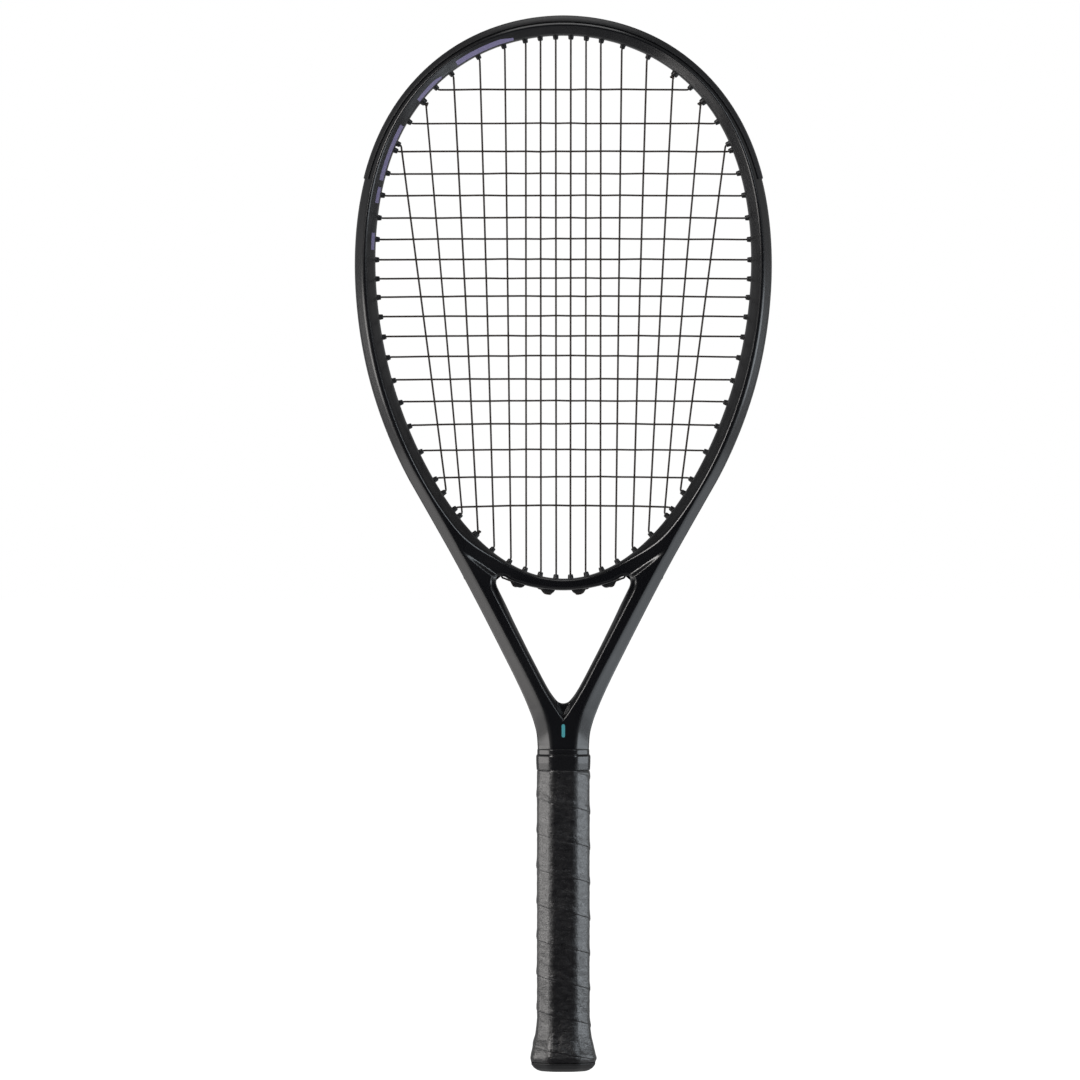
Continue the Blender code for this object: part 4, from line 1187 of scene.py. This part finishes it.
# the strip climbs the handle; a lower edge lies on the turn before it
PROFILE = [(0.0, -0.35), (0.0, 0.05), (0.10, 0.27), (0.35, 0.40), (0.8, 0.44), (1.6, 0.42), (2.6, 0.34),
           (3.8, 0.20), (5.2, 0.07), (7.0, 0.0)]
PROFILE += [(v, 0.0) for v in np.linspace(8.2, PITCH - 1.2, 14)] + [(PITCH - 0.4, -0.04), (PITCH + 0.2, -0.1)]
prof_p = np.array([p for p, _ in PROFILE])
prof_o = np.array([o for _, o in PROFILE])
s_val = np.linspace(-0.45, 8.95, int(9.4 * 128))
rows = []
Z_LOW, Z_HIGH = 6.4, 200.9
SEAM0 = 180.4 - 8 * PITCH
for s in s_val:
    zs = SEAM0 + PITCH * s + prof_p
    u = U0 - s                   # so that the seams fall from left to right on the front
    zc = np.clip(zs, Z_LOW, Z_HIGH)
    fade = smooth_step((zc - Z_LOW) / 3.0) * smooth_step((199.6 - zc) / 1.6)
    off = prof_o * fade - 0.12 + crease(np.full(len(zc), np.mod(u, 1.0)), zc) * fade
    rows.append(on_octagon(np.full(len(zc), u), zc, off))
rows = np.array(rows)
shell = Shell()
shell.grid(rows, flip=True)
inner_z = np.concatenate([np.linspace(6.4, 36, 16), np.linspace(38, 201.0, 12)])
in_rings = [tube_octagon(z, float(INNER_A(z)), float(INNER_B(z)), 2.4) for z in inner_z]
shell.grid(in_rings, close_cols=True, flip=True)
base_ring = rounded([(x, y) for x, y in [(21.38, -8.15), (21.38, 8.15), (10.37, 19.5), (-10.37, 19.5), (-21.38, 8.15),
                                         (-21.38, -8.15), (-10.37, -19.5), (10.37, -19.5)]], 2.4, 6.42)
shell.grid([in_rings[0], base_ring], close_cols=True)
tape = new_object("grip_tape_spiral", shell.mesh("grip_tape_spiral", merge=1e-7, sharp=45.0, recalc=False), material=GRIP)
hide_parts("grip_tape")
print("grip faces", len(tape.data.polygons))


def sleeve(name, outer, inner, r, material, body="racket", r_in=2.0, sharp=32.0, per=7):
    """A tube of rounded octagons: up its outside and down its inside."""
    def ring(z, a, b, rad):
        fx, fy = OCT_X * a, OCT_Y * b
        return rounded([(a, -fy), (a, fy), (fx, b), (-fx, b), (-a, fy), (-a, -fy), (-fx, -b), (fx, -b)], rad, z, per)
    rings = [ring(z, a, b, r) for z, a, b in outer] + [ring(z, a, b, r_in) for z, a, b in reversed(inner)]
    sh = Shell()
    sh.grid(rings, close_cols=True, close_rows=True)
    return new_object(name, sh.mesh(name, sharp=sharp), body=body, material=material)


def eased(points, r=0.35, per=4):
    """Rounds the corners of an open run of (z, a, b)."""
    p = np.array(points, float)
    out = [p[0]]
    for i in range(1, len(p) - 1):
        da, db = p[i - 1] - p[i], p[i + 1] - p[i]
        la, lb = np.linalg.norm(da), np.linalg.norm(db)
        c = min(r, la * 0.45, lb * 0.45)
        s0, s1 = p[i] + da / la * c, p[i] + db / lb * c
        for k in range(per):
            f = k / (per - 1)
            out.append((1 - f) ** 2 * s0 + 2 * f * (1 - f) * p[i] + f * f * s1)
    out.append(p[-1])
    full = [out[0]]
    for v in out[1:]:                      # a ring close to each end of a long straight part
        w = full[-1]
        gap = np.linalg.norm(v - w)
        if gap > 0.9:
            full += [w + (v - w) * 0.12 / gap, v - (v - w) * 0.12 / gap]
        full.append(v)
    return [tuple(v) for v in full]


collar = sleeve("grip_collar_fine",
                eased([(199.9, 17.1, 15.2), (199.9, 17.55, 15.65), (200.15, 17.72, 15.82), (204.5, 18.0, 16.1),
                       (208.7, 18.05, 16.15), (209.7, 17.85, 15.9), (210.1, 17.32, 14.35), (213.2, 17.27, 14.25),
                       (213.7, 17.05, 13.95), (213.7, 16.6, 13.6)], 0.25),
                eased([(199.9, 17.1, 15.2), (205.0, 17.1, 15.2), (206.6, 16.5, 13.45), (213.7, 16.45, 13.4)], 0.4),
                3.0, RUBBER)
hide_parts("grip_collar")

cap_out = eased([(0.0, 9.0, 7.0), (0.0, 11.4, 9.7), (0.35, 11.7, 10.0), (0.35, 12.3, 10.6), (0.0, 12.6, 10.9),
                 (0.25, 15.2, 13.4), (1.0, 17.3, 15.3), (2.5, 19.5, 17.5), (4.7, 21.15, 19.15), (5.9, 21.25, 19.25),
                 (6.15, 19.9, 18.0), (10.0, 20.0, 18.1), (13.5, 18.7, 16.8), (18.0, 17.4, 15.5), (24.0, 16.3, 14.4),
                 (34.0, 15.7, 13.8)], 0.3)
cap_in = [(0.0, 9.0, 7.0), (0.5, 9.0, 7.0), (3.0, 9.0, 7.0), (3.4, 10.5, 8.5), (11.9, 10.5, 8.5), (12.2, 14.7, 12.7), (34.0, 14.7, 12.7)]
cap = sleeve("butt_cap_fine", cap_out, cap_in, 3.0, CAP_NYLON, r_in=1.4)
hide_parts("butt_cap")


def door_mesh():
    sh = Shell()
    outline = [(0.7, 0.0, 0.0), (0.7, 4.6, 3.2), (0.45, 5.0, 3.6), (0.4, 7.9, 5.9), (0.85, 8.65, 6.65),
               (2.6, 8.65, 6.65), (2.6, 0.0, 0.0)]

    def ring(z, a, b):
        a, b = max(a, 0.01), max(b, 0.01)
        fx, fy = OCT_X * a, OCT_Y * b
        return rounded([(a, -fy), (a, fy), (fx, b), (-fx, b), (-a, fy), (-a, -fy), (-fx, -b), (fx, -b)], 1.3, z, 5)
    sh.grid([ring(*o) for o in eased(outline, 0.3)], close_cols=True)
    for s in (-1, 1):
        x0, x1 = (7.0, 8.15) if s > 0 else (-8.15, -7.0)
        clip = [rounded([(x0, -2.5), (x1, -2.5), (x1, 2.5), (x0, 2.5)], 0.3, z) for z in (1.9, 5.0, 7.4)]
        xs0, xs1 = (7.0, 8.4) if s > 0 else (-8.4, -7.0)
        clip.append(rounded([(xs0, -2.5), (xs1, -2.5), (xs1, 2.5), (xs0, 2.5)], 0.3, 7.6))
        clip.append(rounded([(x0, -2.5), (x1, -2.5), (x1, 2.5), (x0, 2.5)], 0.3, 8.4))
        sh.grid(clip, close_cols=True)
        sh.fan(clip[-1])
    return sh.mesh("butt_cap_door_fine", sharp=32.0)


door = new_object("butt_cap_door_fine", door_mesh(), body="trap_door", material=DOOR_NYLON)
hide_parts("butt_cap_door")

for node, look in (("pallet_front", FOAM), ("pallet_back", FOAM), ("finishing_tape", TAPE), ("grip_tack", STEEL),
                   ("butt_staple_front", STEEL), ("butt_staple_back", STEEL), ("tube_plug_left", PLUG_FOAM),
                   ("tube_plug_right", PLUG_FOAM)):
    obj = NODES[node]
    obj.data.materials.clear()
    obj.data.materials.append(look)

# ------------------------------------------------------------------ painted bars

MID = HEADS + outward(GRID) * 3.2
BARS = [("x", 71.2, 33.4), ("x", 97.0, 81.8), ("z", 627.5, 591.0), ("z", 586.4, 575.8), ("z", 555.9, 544.6)]
upper = MID[:, 1] > 515
for n_bar, (axis, v0, v1) in enumerate(BARS):
    if axis == "x":
        part = GRID < 1.1
        t0, t1 = (float(np.interp(v, MID[part, 0], GRID[part])) for v in (v1, v0))
    else:
        t0, t1 = (float(np.interp(-v, -MID[:, 1], GRID)) for v in (v0, v1))
    tt = np.linspace(t0, t1, 60)
    for where, sx, sy in (("front", -1.0, 1.0), ("back", 1.0, -1.0)):
        wide = (2.9, 2.2, 2.4, 2.1, 2.0)[n_bar] * (1 - 0.45 * smooth_step((0.25 - np.linspace(0, 1, 60)) / 0.25)
                                                   * (1 if n_bar < 2 else 0))
        d = 0.75 + wide[:, None] * np.linspace(0, 1, 10)[None, :]
        pts = head(tt)[:, None, :] + outward(tt)[:, None, :] * d[..., None]
        h = height(pts.reshape(-1, 2)).reshape(pts.shape[:2]) + 0.035
        g = np.stack([pts[..., 0] * sx, -h * sy, pts[..., 1]], -1)
        low = g.copy()
        low[..., 1] += 0.25 * sy
        sh = Shell()
        sh.grid(g)
        sh.grid(low, flip=True)
        for a, b in ((g[0], low[0]), (g[-1], low[-1]), (g[:, 0], low[:, 0]), (g[:, -1], low[:, -1])):
            sh.grid([a, b])
        new_object(f"bar_{where}_{n_bar + 1}", sh.mesh(f"bar_{where}_{n_bar + 1}", merge=1e-7, sharp=40.0), material=LAVENDER)

for where, sy in (("front", 1.0), ("back", -1.0)):
    zz = np.linspace(221.6, 230.4, 34)
    half = 1.1 * np.sqrt(np.clip(1 - np.clip(np.abs(zz - 226.0) - 3.3, 0, 1.1) ** 2 / 1.1**2, 0.002, 1))
    k = np.linspace(-1, 1, 9)
    xz = np.stack([half[:, None] * k[None, :], np.repeat(zz[:, None], 9, 1)], -1)
    h = height(xz.reshape(-1, 2)).reshape(xz.shape[:2]) + 0.035
    g = np.stack([xz[..., 0], -h * sy, xz[..., 1]], -1)
    low = g.copy()
    low[..., 1] += 0.25 * sy
    sh = Shell()
    sh.grid(g)
    sh.grid(low, flip=True)
    for a, b in ((g[0], low[0]), (g[-1], low[-1]), (g[:, 0], low[:, 0]), (g[:, -1], low[:, -1])):
        sh.grid([a, b])
    new_object(f"pill_{where}", sh.mesh(f"pill_{where}", merge=1e-7, sharp=40.0), material=TEAL)

# ------------------------------------------------------------------ stage

floor_mesh = bpy.data.meshes.new("floor")
R = 60.0
DROP = -0.045      # the racket hangs clear of the floor, so that its trap door has room to come out
floor_mesh.from_pydata([(-R, -R, DROP), (R, -R, DROP), (R, R, DROP), (-R, R, DROP)], [], [(0, 1, 2, 3)])
floor = bpy.data.objects.new("floor", floor_mesh)
bpy.context.scene.collection.objects.link(floor)
fm = bpy.data.materials.new("floor")
fm.use_nodes = True
fb = fm.node_tree.nodes["Principled BSDF"]
fb.inputs["Base Color"].default_value = (0.3, 0.3, 0.3, 1)
fb.inputs["Roughness"].default_value = 1.0
fb.inputs["Specular IOR Level"].default_value = 0.0
fb.inputs["Emission Color"].default_value = (1, 1, 1, 1)
fb.inputs["Emission Strength"].default_value = 1.0
floor_mesh.materials.append(fm)
floor.visible_glossy = False


def softbox(name, where, target, size, power, colour):
    data = bpy.data.lights.new(name, "AREA")
    data.shape = "RECTANGLE"
    data.size, data.size_y = size
    data.energy = power
    data.color = colour
    obj = bpy.data.objects.new(name, data)
    bpy.context.scene.collection.objects.link(obj)
    obj.location = where
    d = mathutils.Vector(target) - mathutils.Vector(where)
    obj.rotation_euler = d.to_track_quat("-Z", "Y").to_euler()
    obj.visible_camera = False
    return obj


def glow(size, radiance):
    return radiance * math.pi * size[0] * size[1]


WARM, COOL = (1.0, 0.97, 0.95), (0.86, 0.935, 1.0)
for sx, tone, k, sharp_k in ((-1, WARM, 1.0, 11.0), (1, COOL, 0.9, 4.5)):
    side = "left" if sx < 0 else "right"
    box = (0.95, 0.44)
    softbox("side_" + side, (sx * 1.5, -0.2, 0.24), (0, -0.2, 0.24), box, glow(box, 4.0 * k), tone)
    for n, (x0, x1, lit) in enumerate(((0.36, 0.51, 1.95), (0.51, 0.62, 1.35), (0.62, 0.98, 0.8))):
        card, mid_x = (x1 - x0, 1.0), sx * (x0 + x1) / 2
        softbox(f"low_{side}_{n}", (mid_x, -0.1, 0.02), (mid_x, -0.1, 1.0), card, glow(card, lit * k), tone)
    small = (1.0, 1.0)
    softbox("edge_" + side, (sx * 1.7, -1.9, 1.7), (0, 0, 0.35), small, glow(small, sharp_k), tone)
softbox("top", (0.0, 0.3, 2.6), (0, 0, 0.4), (1.2, 1.2), glow((1.2, 1.2), 1.6), (1, 1, 1))

world = bpy.data.worlds.new("world")
bpy.context.scene.world = world
world.use_nodes = True
wt = world.node_tree
bg = wt.nodes["Background"]
path = wt.nodes.new("ShaderNodeLightPath")
way = wt.nodes.new("ShaderNodeTexCoord")
split = wt.nodes.new("ShaderNodeSeparateXYZ")
wt.links.new(way.outputs["Generated"], split.inputs["Vector"])
around = remap(wt, split.outputs["Y"], 0.012, 0.34, -0.93, 0.05)     # dark behind the camera
above = remap(wt, split.outputs["Z"], 1.0, 0.4, 0.2, 0.8)
grey = wt.nodes.new("ShaderNodeMath")
grey.operation = "MULTIPLY"
wt.links.new(around, grey.inputs[0])
wt.links.new(above, grey.inputs[1])
mixc = wt.nodes.new("ShaderNodeMix")
mixc.data_type = "RGBA"
mixc.inputs["B"].default_value = (1.0, 1.0, 1.0, 1)
wt.links.new(grey.outputs["Value"], mixc.inputs["A"])
wt.links.new(path.outputs["Is Camera Ray"], mixc.inputs["Factor"])
wt.links.new(mixc.outputs["Result"], bg.inputs["Color"])
bg.inputs["Strength"].default_value = 1.0
bpy.context.scene.view_settings.view_transform = "Standard"

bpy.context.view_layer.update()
